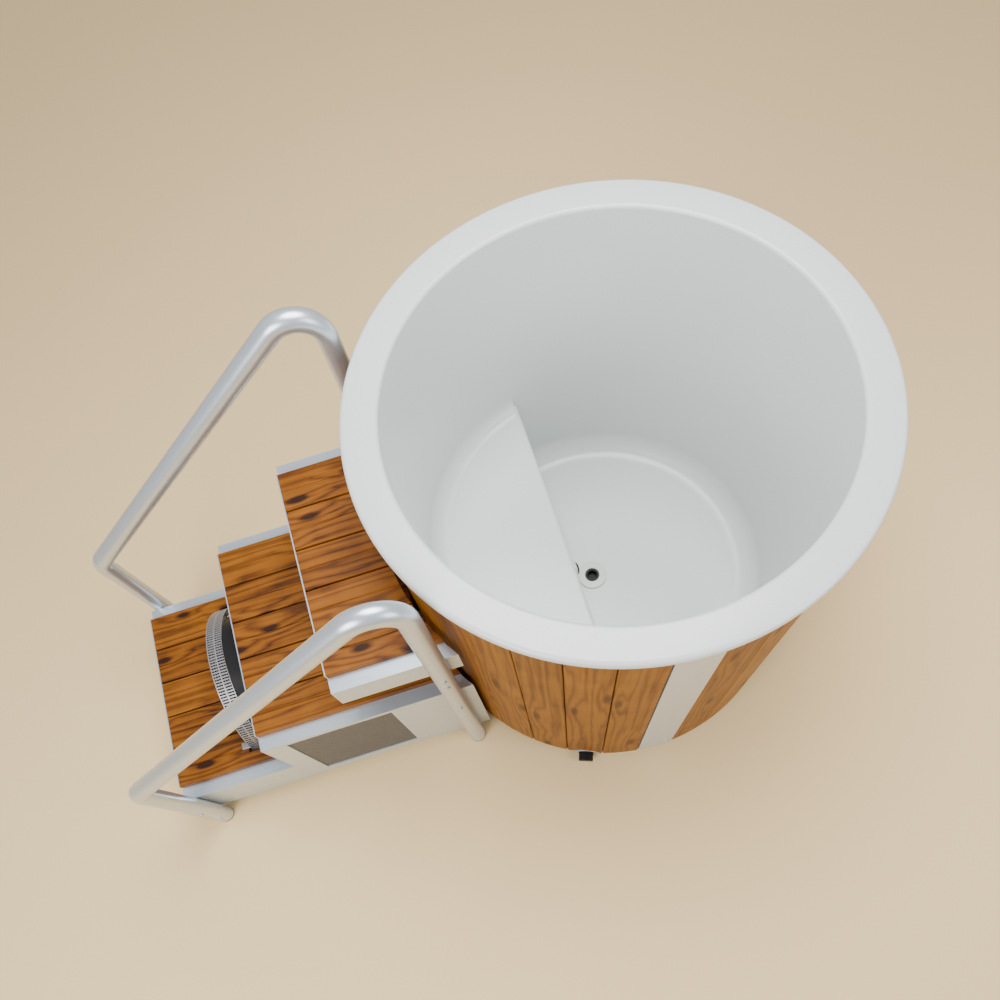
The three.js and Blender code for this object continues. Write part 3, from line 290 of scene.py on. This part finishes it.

# %% [markdown]
# ## Modelling helpers
# A new piece starts from nothing selected. Most are spun from a profile or pushed out from an outline. Each
# one kept gets its finish and the body it rides on, and where it stands for CAD nodes, those nodes are
# hidden.

# %% Helpers for pieces
MERGE_DISTANCE = 1e-5


def only(piece):
    bpy.ops.object.select_all(action="DESELECT")
    piece.select_set(True)
    bpy.context.view_layer.objects.active = piece


@contextmanager
def editing(piece, select_all=True):
    only(piece)
    bpy.ops.object.mode_set(mode="EDIT")
    if select_all:
        bpy.ops.mesh.select_all(action="SELECT")
    yield
    bpy.ops.object.mode_set(mode="OBJECT")


def face_outward():
    bpy.ops.mesh.select_all(action="SELECT")
    bpy.ops.mesh.normals_make_consistent(inside=False)


def select_faces(piece, wanted):
    with editing(piece):
        bpy.ops.mesh.select_all(action="DESELECT")
    for polygon in piece.data.polygons:
        polygon.select = wanted(polygon)


def modify(piece, kind, **settings):
    only(piece)
    modifier = piece.modifiers.new(kind.lower(), kind)
    for key, value in settings.items():
        setattr(modifier, key, value)
    bpy.ops.object.modifier_apply(modifier=modifier.name)


def keep(piece, finish, body="base", stands_for=(), angle=30.0):
    only(piece)
    bpy.ops.object.shade_smooth_by_angle(angle=math.radians(angle))
    piece.data.materials.clear()
    piece.data.materials.append(FINISHES[finish])
    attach(piece, body)
    if stands_for:
        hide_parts(*stands_for)
    return piece


def placed(name, data):
    piece = bpy.data.objects.new(name, data)
    bpy.context.scene.collection.objects.link(piece)
    return piece


def line_object(name, points, closed=False):
    mesh = bpy.data.meshes.new(name)
    edges = [(i, i + 1) for i in range(len(points) - 1)]
    if closed:
        edges.append((len(points) - 1, 0))
    mesh.from_pydata(points, edges, [])
    return placed(name, mesh)


def spun(name, profile, steps=144, closed=False):
    piece = line_object(name, [(radius, 0.0, height) for radius, height in profile], closed)
    with editing(piece):
        bpy.ops.mesh.spin(steps=steps, angle=2.0 * math.pi, center=(0, 0, 0), axis=(0, 0, 1))
        bpy.ops.mesh.select_all(action="SELECT")
        bpy.ops.mesh.remove_doubles(threshold=MERGE_DISTANCE)
        face_outward()
    return piece


def pushed_out(name, outline, path):
    piece = line_object(name, outline, closed=True)
    with editing(piece):
        bpy.ops.mesh.edge_face_add()
        bpy.ops.mesh.extrude_region_move(TRANSFORM_OT_translate={"value": path})
        face_outward()
    return piece


def cuboid(name, size, place):
    bpy.ops.object.select_all(action="DESELECT")
    bpy.ops.mesh.primitive_cube_add(size=1.0)
    piece = bpy.context.object
    piece.name = name
    piece.data.transform(place @ Matrix.Diagonal((*size, 1.0)))
    return piece


def combine(piece, tool, operation):
    modify(piece, "BOOLEAN", operation=operation, solver="EXACT", object=tool)
    bpy.data.objects.remove(tool, do_unlink=True)


def arc(centre, radius, start, end, steps=8):
    angles = [math.radians(start + (end - start) * i / steps) for i in range(steps + 1)]
    return [(centre[0] + radius * math.cos(a), centre[1] + radius * math.sin(a)) for a in angles]


def arch(outer, inner, foot, steps):
    # A round band about the origin that ends at the height foot, as one closed outline.
    low = math.degrees(math.asin(foot / outer))
    return arc((0.0, 0.0), outer, low, 180.0 - low, steps) + arc((0.0, 0.0), inner, 180.0 - low, low, steps)


# %% [markdown]
# ## Tub shell
# The shell is one moulding: a broad rim with a bullnose edge, a gently tapered well, a half-moon bench and
# a round foot well with a soft fillet. Each hollow is spun from a profile; the bench edge is a rounded
# profile pushed across the tub.

# %% Shell profiles
RIM_RADIUS, WELL_RADIUS, RIM_TOP = 0.59998, 0.514, 1.022
RIM_BOTTOM, SHELL_WALL, WELL_TAPER = 0.997, 0.008, 0.014
FLOOR_HEIGHT, BENCH_HEIGHT, BENCH_EDGE = 0.140, 0.450, -0.120
FLOOR_FILLET, BENCH_FILLET, BENCH_ROUND, RIM_ROUND = 0.070, 0.045, 0.012, 0.009
OVERRUN, OVERLAP = 0.02, 0.001  # how far cutters pass a face, and how far joined forms sink into each other


def well_radius(height):
    return WELL_RADIUS - WELL_TAPER * (RIM_TOP - height) / (RIM_TOP - FLOOR_HEIGHT)


def basin(floor, fillet, top, wall):
    radius, bottom, round_ = well_radius(floor) + wall, floor - wall, fillet + wall
    corner = arc((radius - round_, bottom + round_), round_, -90, 0)
    return [(0.0, bottom), *corner, (well_radius(top) + wall, top)]


def bench_cutter(wall):
    edge, top, round_ = BENCH_EDGE - wall, BENCH_HEIGHT - wall, BENCH_ROUND + wall
    upper = BENCH_HEIGHT + BENCH_FILLET + OVERRUN
    outline = [(edge, -OVERRUN), *arc((edge - round_, top - round_), round_, 0, 90, 6), (edge - round_, upper),
               (RIM_RADIUS, upper), (RIM_RADIUS, -OVERRUN)]
    return pushed_out("bench_cutter", [(x, -RIM_RADIUS, z) for x, z in outline], (0.0, 2.0 * RIM_RADIUS, 0.0))


def foot_well(wall):
    top = BENCH_HEIGHT + BENCH_FILLET
    piece = spun("foot_well", [*basin(FLOOR_HEIGHT, FLOOR_FILLET, top, wall), (0.0, top)])
    combine(piece, bench_cutter(wall), "INTERSECT")
    return piece


# %% [markdown]
# Rim and outer forms are joined first. Cutting the hollows out of them then leaves one even wall, and two
# round holes take the drain and the return fitting.

# %% Build the shell
DRAIN_PLACE, DRAIN_HOLE = (-0.030, 0.010), 0.0193
RETURN_PLACE, RETURN_HOLE = (-0.120, -0.032, 0.324), 0.0203
HOLE_DEPTH = 0.08


def hole_cutter(place, radius, tilt=0.0):
    bpy.ops.object.select_all(action="DESELECT")
    bpy.ops.mesh.primitive_cylinder_add(vertices=48, radius=radius, depth=HOLE_DEPTH, location=place,
                                        rotation=(0.0, tilt, 0.0))
    return bpy.context.object


def build_shell():
    nose = (RIM_TOP - RIM_BOTTOM) / 2.0
    rim = [(0.0, RIM_BOTTOM), *arc((RIM_RADIUS - nose, RIM_BOTTOM + nose), nose, -90, 90, 12), (0.0, RIM_TOP)]
    joint = RIM_BOTTOM + OVERLAP
    outside = [*basin(BENCH_HEIGHT, BENCH_FILLET, joint, SHELL_WALL), (0.0, joint)]
    shell = spun("tub_shell_moulding", rim)
    combine(shell, spun("bath_outside", outside), "UNION")
    combine(shell, foot_well(SHELL_WALL), "UNION")
    lip = arc((WELL_RADIUS + RIM_ROUND, RIM_TOP - RIM_ROUND), RIM_ROUND, 180, 90, 5)
    bath = [*basin(BENCH_HEIGHT, BENCH_FILLET, RIM_TOP - RIM_ROUND, 0.0), *lip[1:],
            (WELL_RADIUS + RIM_ROUND, RIM_TOP + OVERRUN), (0.0, RIM_TOP + OVERRUN)]
    combine(shell, spun("bath_well", bath), "DIFFERENCE")
    combine(shell, foot_well(0.0), "DIFFERENCE")
    combine(shell, hole_cutter((*DRAIN_PLACE, FLOOR_HEIGHT), DRAIN_HOLE), "DIFFERENCE")
    combine(shell, hole_cutter(RETURN_PLACE, RETURN_HOLE, math.pi / 2.0), "DIFFERENCE")
    return keep(shell, "shell", stands_for=("tub_shell",), angle=25.0)


shell = build_shell()
print("shell faces:", len(shell.data.polygons))

# %% [markdown]
# ## Handrails
# Each rail is one bent tube. A curve through the straight runs and the two bends, with a round section,
# gives a smooth tube; it is then turned into a mesh.

# %% Bend the rails
RAIL_Y, RAIL_RADIUS, RAIL_FOOT = 0.3537, 0.0254, 0.005
RAIL_CORNERS = [(-1.429, RAIL_FOOT), (-1.429, 0.504), (-0.551, 1.1796), (-0.551, RAIL_FOOT)]
RAIL_BENDS, BEND_STEPS = [0.050, 0.070], 16


def rail_points():
    corners = [Vector(c) for c in RAIL_CORNERS]
    points = [corners[0]]
    for before, corner, after, radius in zip(corners, corners[1:], corners[2:], RAIL_BENDS):
        backward, ahead = (before - corner).normalized(), (after - corner).normalized()
        half = backward.angle(ahead) / 2.0
        centre = corner + (backward + ahead).normalized() * radius / math.sin(half)
        arm = corner + backward * radius / math.tan(half) - centre
        turn = math.copysign(math.pi - 2.0 * half, arm.cross(-backward))
        for i in range(BEND_STEPS + 1):
            points.append(centre + Matrix.Rotation(turn * i / BEND_STEPS, 2) @ arm)
    return points + [corners[-1]]


def build_rail(name, side):
    curve = bpy.data.curves.new(name, "CURVE")
    curve.dimensions = "3D"
    curve.bevel_depth = RAIL_RADIUS
    curve.bevel_resolution = 8
    curve.use_fill_caps = True
    spline = curve.splines.new("POLY")
    path = rail_points()
    spline.points.add(len(path) - 1)
    for point, place in zip(spline.points, path):
        point.co = (place.x, side * RAIL_Y, place.y, 1.0)
    only(placed(name, curve))
    bpy.ops.object.convert(target="MESH")
    piece = bpy.context.object
    with editing(piece):
        bpy.ops.mesh.remove_doubles(threshold=MERGE_DISTANCE)
        face_outward()
    return keep(piece, "rail_steel", stands_for=(name.replace("_tube", ""),))


rails = [build_rail("handrail_near_tube", -1.0), build_rail("handrail_far_tube", 1.0)]
print("rail faces:", [len(r.data.polygons) for r in rails])

# %% [markdown]
# ## Vent screen
# The screen is a thin sheet with thousands of small holes. A grid whose faces are inset one by one, with
# the inner faces deleted, makes them all in one step, and a solidify modifier gives the sheet its thickness.

# %% Perforate the vent
VENT_X, VENT_Z, VENT_MARGIN = (-1.040, -0.737), (0.087, 0.431), 0.012
SCREEN_Y, SCREEN_SHEET, HOLE_PITCH = -0.3247, 0.0016, 0.0066
SCREEN_BAR = HOLE_PITCH * 0.2  # half the width of metal between two holes


def grid(name, columns, rows, place):
    bpy.ops.object.select_all(action="DESELECT")
    bpy.ops.mesh.primitive_grid_add(x_subdivisions=columns, y_subdivisions=rows, size=1.0)
    piece = bpy.context.object
    piece.name = name
    piece.data.transform(place)
    return piece


def open_cells(piece, bar):
    with editing(piece):
        bpy.ops.mesh.inset(thickness=bar, use_individual=True)
        bpy.ops.mesh.delete(type="FACE")


def thicken(piece, thickness):
    modify(piece, "SOLIDIFY", thickness=thickness, offset=-1.0)


def build_vent():
    width = VENT_X[1] - VENT_X[0] + 2.0 * VENT_MARGIN
    height = VENT_Z[1] - VENT_Z[0] + 2.0 * VENT_MARGIN
    middle = (sum(VENT_X) / 2.0, SCREEN_Y, sum(VENT_Z) / 2.0)
    upright = Matrix.Translation(middle) @ Matrix.Rotation(math.pi / 2.0, 4, "X")
    screen = grid("vent_screen_mesh", round(width / HOLE_PITCH), round(height / HOLE_PITCH),
                  upright @ Matrix.Diagonal((width, height, 1.0, 1.0)))
    open_cells(screen, SCREEN_BAR)
    thicken(screen, SCREEN_SHEET)
    return keep(screen, "screen_metal", stands_for=("vent_screen",))


vent = build_vent()

# %% [markdown]
# ## Fan guard
# The guard is an arched hood of slotted sheet with a perforated face, on two small feet. The hood starts as
# a flat grid with slots cut the same way as the vent; its points are then wrapped round the arch. The face
# is a second grid, kept only inside the arch, behind a plain rim.

# %% Build the guard
GUARD_RADIUS, GUARD_AXIS, GUARD_BOTTOM = 0.245, 0.165, 0.205
GUARD_FRONT, GUARD_DEPTH, GUARD_SHEET, GUARD_RIM = -1.2163, 0.048, 0.0025, 0.010
GUARD_FOOT = GUARD_BOTTOM - GUARD_AXIS  # height of the arch's ends over its centre
HOOD_SLOTS, HOOD_BAR = (78, 2), 0.0019
FACE_HOLES, FACE_BAR, FACE_SHEET, FACE_INSET = (54, 23), 0.0021, 0.0015, 0.0005
FOOT_SIZE, FOOT_REACH, FOOT_Y = (0.0275, 0.022, GUARD_SHEET), 0.0112, 0.225
TREAD_TOP = 0.2313


def guard_hood():
    length = (math.pi - 2.0 * math.asin(GUARD_FOOT / GUARD_RADIUS)) * GUARD_RADIUS
    hood = grid("fan_guard_hood", *HOOD_SLOTS, Matrix.Diagonal((length, GUARD_DEPTH, 1.0, 1.0)))
    open_cells(hood, HOOD_BAR)
    for vertex in hood.data.vertices:
        angle = math.pi / 2.0 - vertex.co.x / GUARD_RADIUS
        vertex.co = (GUARD_FRONT + GUARD_DEPTH / 2.0 + vertex.co.y,
                     GUARD_RADIUS * math.cos(angle), GUARD_AXIS + GUARD_RADIUS * math.sin(angle))
    with editing(hood):
        face_outward()
    thicken(hood, GUARD_SHEET)
    return hood


def guard_face():
    width, height = 2.0 * GUARD_RADIUS, GUARD_RADIUS - GUARD_FOOT
    facing_front = Matrix(((0, 0, -1, GUARD_FRONT + FACE_INSET),
                           (-1, 0, 0, 0),
                           (0, 1, 0, GUARD_BOTTOM + height / 2.0),
                           (0, 0, 0, 1)))
    face = grid("fan_guard_face", *FACE_HOLES, facing_front @ Matrix.Diagonal((width, height, 1.0, 1.0)))
    reach = GUARD_RADIUS - GUARD_RIM / 2.0

    def outside_arch(polygon):
        corners = [face.data.vertices[i].co for i in polygon.vertices]
        return max(math.hypot(c.y, c.z - GUARD_AXIS) for c in corners) > reach

    select_faces(face, outside_arch)
    with editing(face, select_all=False):
        bpy.ops.mesh.delete(type="FACE")
    open_cells(face, FACE_BAR)
    thicken(face, FACE_SHEET)
    return face


def guard_rim():
    outline = arch(GUARD_RADIUS, GUARD_RADIUS - GUARD_RIM, GUARD_FOOT, 48)
    points = [(GUARD_FRONT, y, GUARD_AXIS + z) for y, z in outline]
    return pushed_out("fan_guard_rim", points, (GUARD_SHEET, 0.0, 0.0))


def guard_foot(side):
    middle = (GUARD_FRONT - FOOT_REACH, side * FOOT_Y, TREAD_TOP + GUARD_SHEET / 2.0)
    foot = cuboid("fan_guard_foot", FOOT_SIZE, Matrix.Translation(middle))
    modify(foot, "BEVEL", width=0.0006, segments=2)
    return foot


def join_all(pieces):
    only(pieces[0])
    for piece in pieces[1:]:
        piece.select_set(True)
    bpy.ops.object.join()
    return bpy.context.object


guard = join_all([guard_hood(), guard_face(), guard_rim(), guard_foot(-1.0), guard_foot(1.0)])
keep(guard, "guard_metal", stands_for=("fan_guard",))
print("guard faces:", len(guard.data.polygons))

# %% [markdown]
# ## Fan shroud
# The ring behind the guard is seen from above, so it is spun smooth. A centre plate for the motor and four
# struts are joined to it. All are made round the Z axis and then laid along the fan's axis.

# %% Build the shroud
SHROUD_FRONT, SHROUD_BACK, FAN_HEIGHT = -1.1653, -1.1073, 0.238
SHROUD_INNER, SHROUD_OUTER, SHROUD_EDGE = 0.172, 0.184, 0.0015
STRUT_START, STRUT_WIDTH, STRUT_DEPTH = 0.020, 0.016, 0.012
PLATE_BORE, PLATE_RADIUS = 0.007, 0.042


def build_shroud():
    rounded = SHROUD_FRONT + SHROUD_EDGE
    ring = [(SHROUD_INNER + SHROUD_EDGE, SHROUD_FRONT), (SHROUD_OUTER - SHROUD_EDGE, SHROUD_FRONT),
            (SHROUD_OUTER, rounded), (SHROUD_OUTER, SHROUD_BACK),
            (SHROUD_INNER, SHROUD_BACK), (SHROUD_INNER, rounded)]
    shroud = spun("fan_shroud_ring", ring, 96, closed=True)
    end = SHROUD_INNER + OVERLAP
    for index in range(4):
        turn = Matrix.Rotation(math.radians(45.0 + 90.0 * index), 4, "Z")
        middle = Matrix.Translation(((STRUT_START + end) / 2.0, 0.0, SHROUD_BACK - STRUT_DEPTH / 2.0))
        strut = cuboid("strut", (end - STRUT_START, STRUT_WIDTH, STRUT_DEPTH), turn @ middle)
        combine(shroud, strut, "UNION")
    plate = [(PLATE_BORE, SHROUD_BACK - STRUT_DEPTH), (PLATE_RADIUS, SHROUD_BACK - STRUT_DEPTH),
             (PLATE_RADIUS, SHROUD_BACK), (PLATE_BORE, SHROUD_BACK)]
    combine(shroud, spun("motor_plate", plate, 48, closed=True), "UNION")
    shroud.data.transform(Matrix.Translation((0.0, 0.0, FAN_HEIGHT)) @ Matrix.Rotation(math.pi / 2.0, 4, "Y"))
    return keep(shroud, "black_plastic", stands_for=("fan_shroud",))


print("shroud faces:", len(build_shroud().data.polygons))

# %% [markdown]
# ## Drain and return fitting
# All are turned fittings, so each is spun from a profile of radius and height. The drain sits on the foot well's
# floor with a black liner in its bore, and the return fitting faces out of the bench's upright wall with a black
# ball in its nose.

# %% Turn the fittings
SEAT_GAP = 0.0003
DRAIN_SEAT = FLOOR_HEIGHT + SEAT_GAP
OVER_DRAIN = Matrix.Translation((*DRAIN_PLACE, 0.0))
OUT_OF_BENCH = Matrix.Translation(RETURN_PLACE) @ Matrix.Rotation(math.pi / 2.0, 4, "Y")


def above_seat(profile):
    return [(radius, DRAIN_SEAT + height) for radius, height in profile]


def fitting(name, profile, steps, place, finish, closed=True, stands_for=()):
    piece = spun(name, profile, steps, closed)
    piece.data.transform(place)
    return keep(piece, finish, stands_for=stands_for)


drain_profile = [(0.016, 0.118), (0.019, 0.118)] + above_seat([
    (0.019, 0.0), (0.048, 0.0), *arc((0.045, 0.003), 0.003, 0, 80, 4),
    (0.026, 0.0062), (0.0235, 0.0045), (0.0175, 0.0045), (0.016, 0.003)])
liner_profile = [(0.0, 0.122), (0.0157, 0.122)] + above_seat([
    (0.0157, 0.0034), (0.0172, 0.0048), (0.0232, 0.0048), (0.0232, 0.0056), (0.0165, 0.0056), (0.0145, 0.0036),
]) + [(0.0145, 0.126), (0.0, 0.126)]
return_profile = [
    (0.011, -0.022), (0.020, -0.022), (0.020, SEAT_GAP), (0.032, SEAT_GAP), *arc((0.030, 0.0053), 0.002, 0, 80, 3),
    (0.021, 0.0073), (0.019, 0.0095), *arc((0.017, 0.0193), 0.002, 0, 90, 3), (0.011, 0.0213)]
ball_profile = [(0.0075, 0.0216), (0.0178, 0.0216), (0.0172, 0.0240), (0.0150, 0.0262), (0.0115, 0.0275),
                (0.0075, 0.0275)]

fittings = [
    fitting("drain_ring", drain_profile, 64, OVER_DRAIN, "white_plastic", stands_for=("drain_flange",)),
    fitting("drain_liner", liner_profile, 48, OVER_DRAIN, "black_plastic", closed=False),
    fitting("return_nozzle", return_profile, 48, OUT_OF_BENCH, "white_plastic", stands_for=("return_fitting",)),
    fitting("return_ball", ball_profile, 40, OUT_OF_BENCH, "black_plastic"),
]
print("fittings:", [piece.name for piece in fittings])

# %% [markdown]
# ## Outlet ring
# The solids leave out a few small pieces. The first is a pale half ring that lines the notch over the drain outlet.
# Its outline lies across the line from drain to outlet and is pushed out along it.

# %% Line the outlet's notch
OUTLET_ANGLE, OUTLET_HEIGHT, NOTCH_RADIUS = math.radians(-113.4), 0.030, 0.0497
OUTLET_RING_WALL, OUTLET_RING_BOTTOM = 0.003, 0.0505
OUTLET_RING_START, OUTLET_RING_DEPTH = 0.024, 0.026


def on_cladding(angle, height):
    return Vector((CLADDING_RADIUS * math.cos(angle), CLADDING_RADIUS * math.sin(angle), height))


def build_outlet_ring():
    mouth = on_cladding(OUTLET_ANGLE, OUTLET_HEIGHT)
    out = Vector((mouth.x - DRAIN_PLACE[0], mouth.y - DRAIN_PLACE[1], 0.0)).normalized()
    upward = Vector((0.0, 0.0, 1.0))
    side, start = upward.cross(out), mouth - out * OUTLET_RING_START
    outline = arch(NOTCH_RADIUS, NOTCH_RADIUS - OUTLET_RING_WALL, OUTLET_RING_BOTTOM - OUTLET_HEIGHT, 24)
    points = [tuple(start + side * s + upward * u) for s, u in outline]
    return keep(pushed_out("outlet_ring", points, tuple(out * OUTLET_RING_DEPTH)), "sheet_steel")


print("outlet ring:", build_outlet_ring().name)

# %% [markdown]
# ## Foot plugs
# Black plugs with a softened lower edge close the four posts of the rails, which are also the stair's feet.

# %% Plug the posts
PLUG_ROUND, PLUG_TOP = 0.001, RAIL_FOOT - 0.0003
SIDES = ((-1.0, "near"), (1.0, "far"))


def build_plug(name, x, y):
    corner = RAIL_RADIUS - PLUG_ROUND
    profile = [(0.0, 0.0), (corner, 0.0), *arc((corner, PLUG_ROUND), PLUG_ROUND, -60, 0, 2),
               (RAIL_RADIUS, PLUG_TOP), (0.0, PLUG_TOP)]
    return fitting(name, profile, 40, Matrix.Translation((x, y, 0.0)), "black_plastic", closed=False)


for side, label in SIDES:
    for x, end in ((RAIL_CORNERS[0][0], "front"), (RAIL_CORNERS[-1][0], "rear")):
        build_plug(f"foot_plug_{label}_{end}", x, side * RAIL_Y)
print("foot plugs: 4")

# %% [markdown]
# ## Screws
# Socket screws hold the posts to the panels, and one more holds the metal strip. One screw is modelled, with a
# raised head and a sunk socket, and then copied to each place.

# %% Put in the screws
SCREW_RADIUS, SCREW_EDGE = 0.0065, 0.003
HEAD_SLOPE, HEAD_RISE, SOCKET_RIM, SOCKET_DEPTH = 0.0014, 0.0012, 0.0022, 0.0020
POST_SCREWS = [(-0.549, 0.687), (-0.549, 0.639), (-0.549, 0.436), (-1.427, 0.180), (-1.427, 0.060)]
POST_FACE = RAIL_Y + RAIL_RADIUS - 0.0004
STRIP_ANGLE, STRIP_SCREW_HEIGHT = STAVE_START + STAVE_PITCH * 0.8, 0.085


def screw_master():
    bpy.ops.object.select_all(action="DESELECT")
    bpy.ops.mesh.primitive_cylinder_add(vertices=24, radius=SCREW_RADIUS, depth=SCREW_EDGE)
    screw = bpy.context.object
    screw.data.transform(Matrix.Translation((0.0, 0.0, SCREW_EDGE / 2.0)))
    select_faces(screw, lambda polygon: polygon.normal.z > 0.9)
    with editing(screw, select_all=False):
        bpy.ops.mesh.select_mode(type="FACE")
        bpy.ops.mesh.inset(thickness=HEAD_SLOPE)
        bpy.ops.transform.translate(value=(0.0, 0.0, HEAD_RISE))
        bpy.ops.mesh.inset(thickness=SOCKET_RIM)
        bpy.ops.mesh.extrude_region_move(TRANSFORM_OT_translate={"value": (0.0, 0.0, -SOCKET_DEPTH)})
    return screw


def put_screw(master, name, place, normal):
    turn = Vector((0.0, 0.0, 1.0)).rotation_difference(Vector(normal)).to_matrix().to_4x4()
    mesh = master.data.copy()
    mesh.transform(Matrix.Translation(place) @ turn)
    return keep(placed(name, mesh), "rail_steel")


master = screw_master()
for side, label in SIDES:
    for index, (x, z) in enumerate(POST_SCREWS):
        put_screw(master, f"post_screw_{label}_{index}", (x, side * POST_FACE, z), (0.0, side, 0.0))
put_screw(master, "strip_screw", on_cladding(STRIP_ANGLE, STRIP_SCREW_HEIGHT),
          (math.cos(STRIP_ANGLE), math.sin(STRIP_ANGLE), 0.0))
bpy.data.objects.remove(master, do_unlink=True)
print("screws:", 2 * len(POST_SCREWS) + 1)

# %% [markdown]
# ## Floor and light
# A pale floor with no edge in view stands in for the plain backdrop. One soft light hangs close over the tub,
# so that the rim is brightest and the deep well a little darker; two more fill the front.

# %% Stage
FLOOR_SIZE, FLOOR_DROP = 30.0, 0.0005
SKY_STRENGTH = 0.6

bpy.ops.object.select_all(action="DESELECT")
bpy.ops.mesh.primitive_plane_add(size=FLOOR_SIZE, location=(0.0, 0.0, -FLOOR_DROP))
floor = bpy.context.object
floor.name = "floor"
floor.data.materials.append(plain("floor_beige", (0.90, 0.66, 0.34), 0.95))

world = bpy.data.worlds.new("studio")
world.use_nodes = True
sky = world.node_tree.nodes["Background"]
sky.inputs["Color"].default_value = (1.0, 1.0, 1.0, 1.0)
sky.inputs["Strength"].default_value = SKY_STRENGTH
bpy.context.scene.world = world


def softbox(name, place, target, size, power):
    data = bpy.data.lights.new(name, "AREA")
    data.shape = "DISK"
    data.size = size
    data.energy = power
    light = placed(name, data)
    light.location = place
    light.rotation_euler = (Vector(target) - Vector(place)).to_track_quat("-Z", "Y").to_euler()


softbox("overhead", (0.0, 0.35, 3.0), (0.0, 0.1, 0.5), 1.7, 90.0)
softbox("front_left", (-2.9, -2.5, 3.0), (-0.4, 0.0, 0.6), 2.4, 130.0)
softbox("front_right", (2.5, -2.6, 2.8), (-0.2, 0.0, 0.6), 2.4, 60.0)
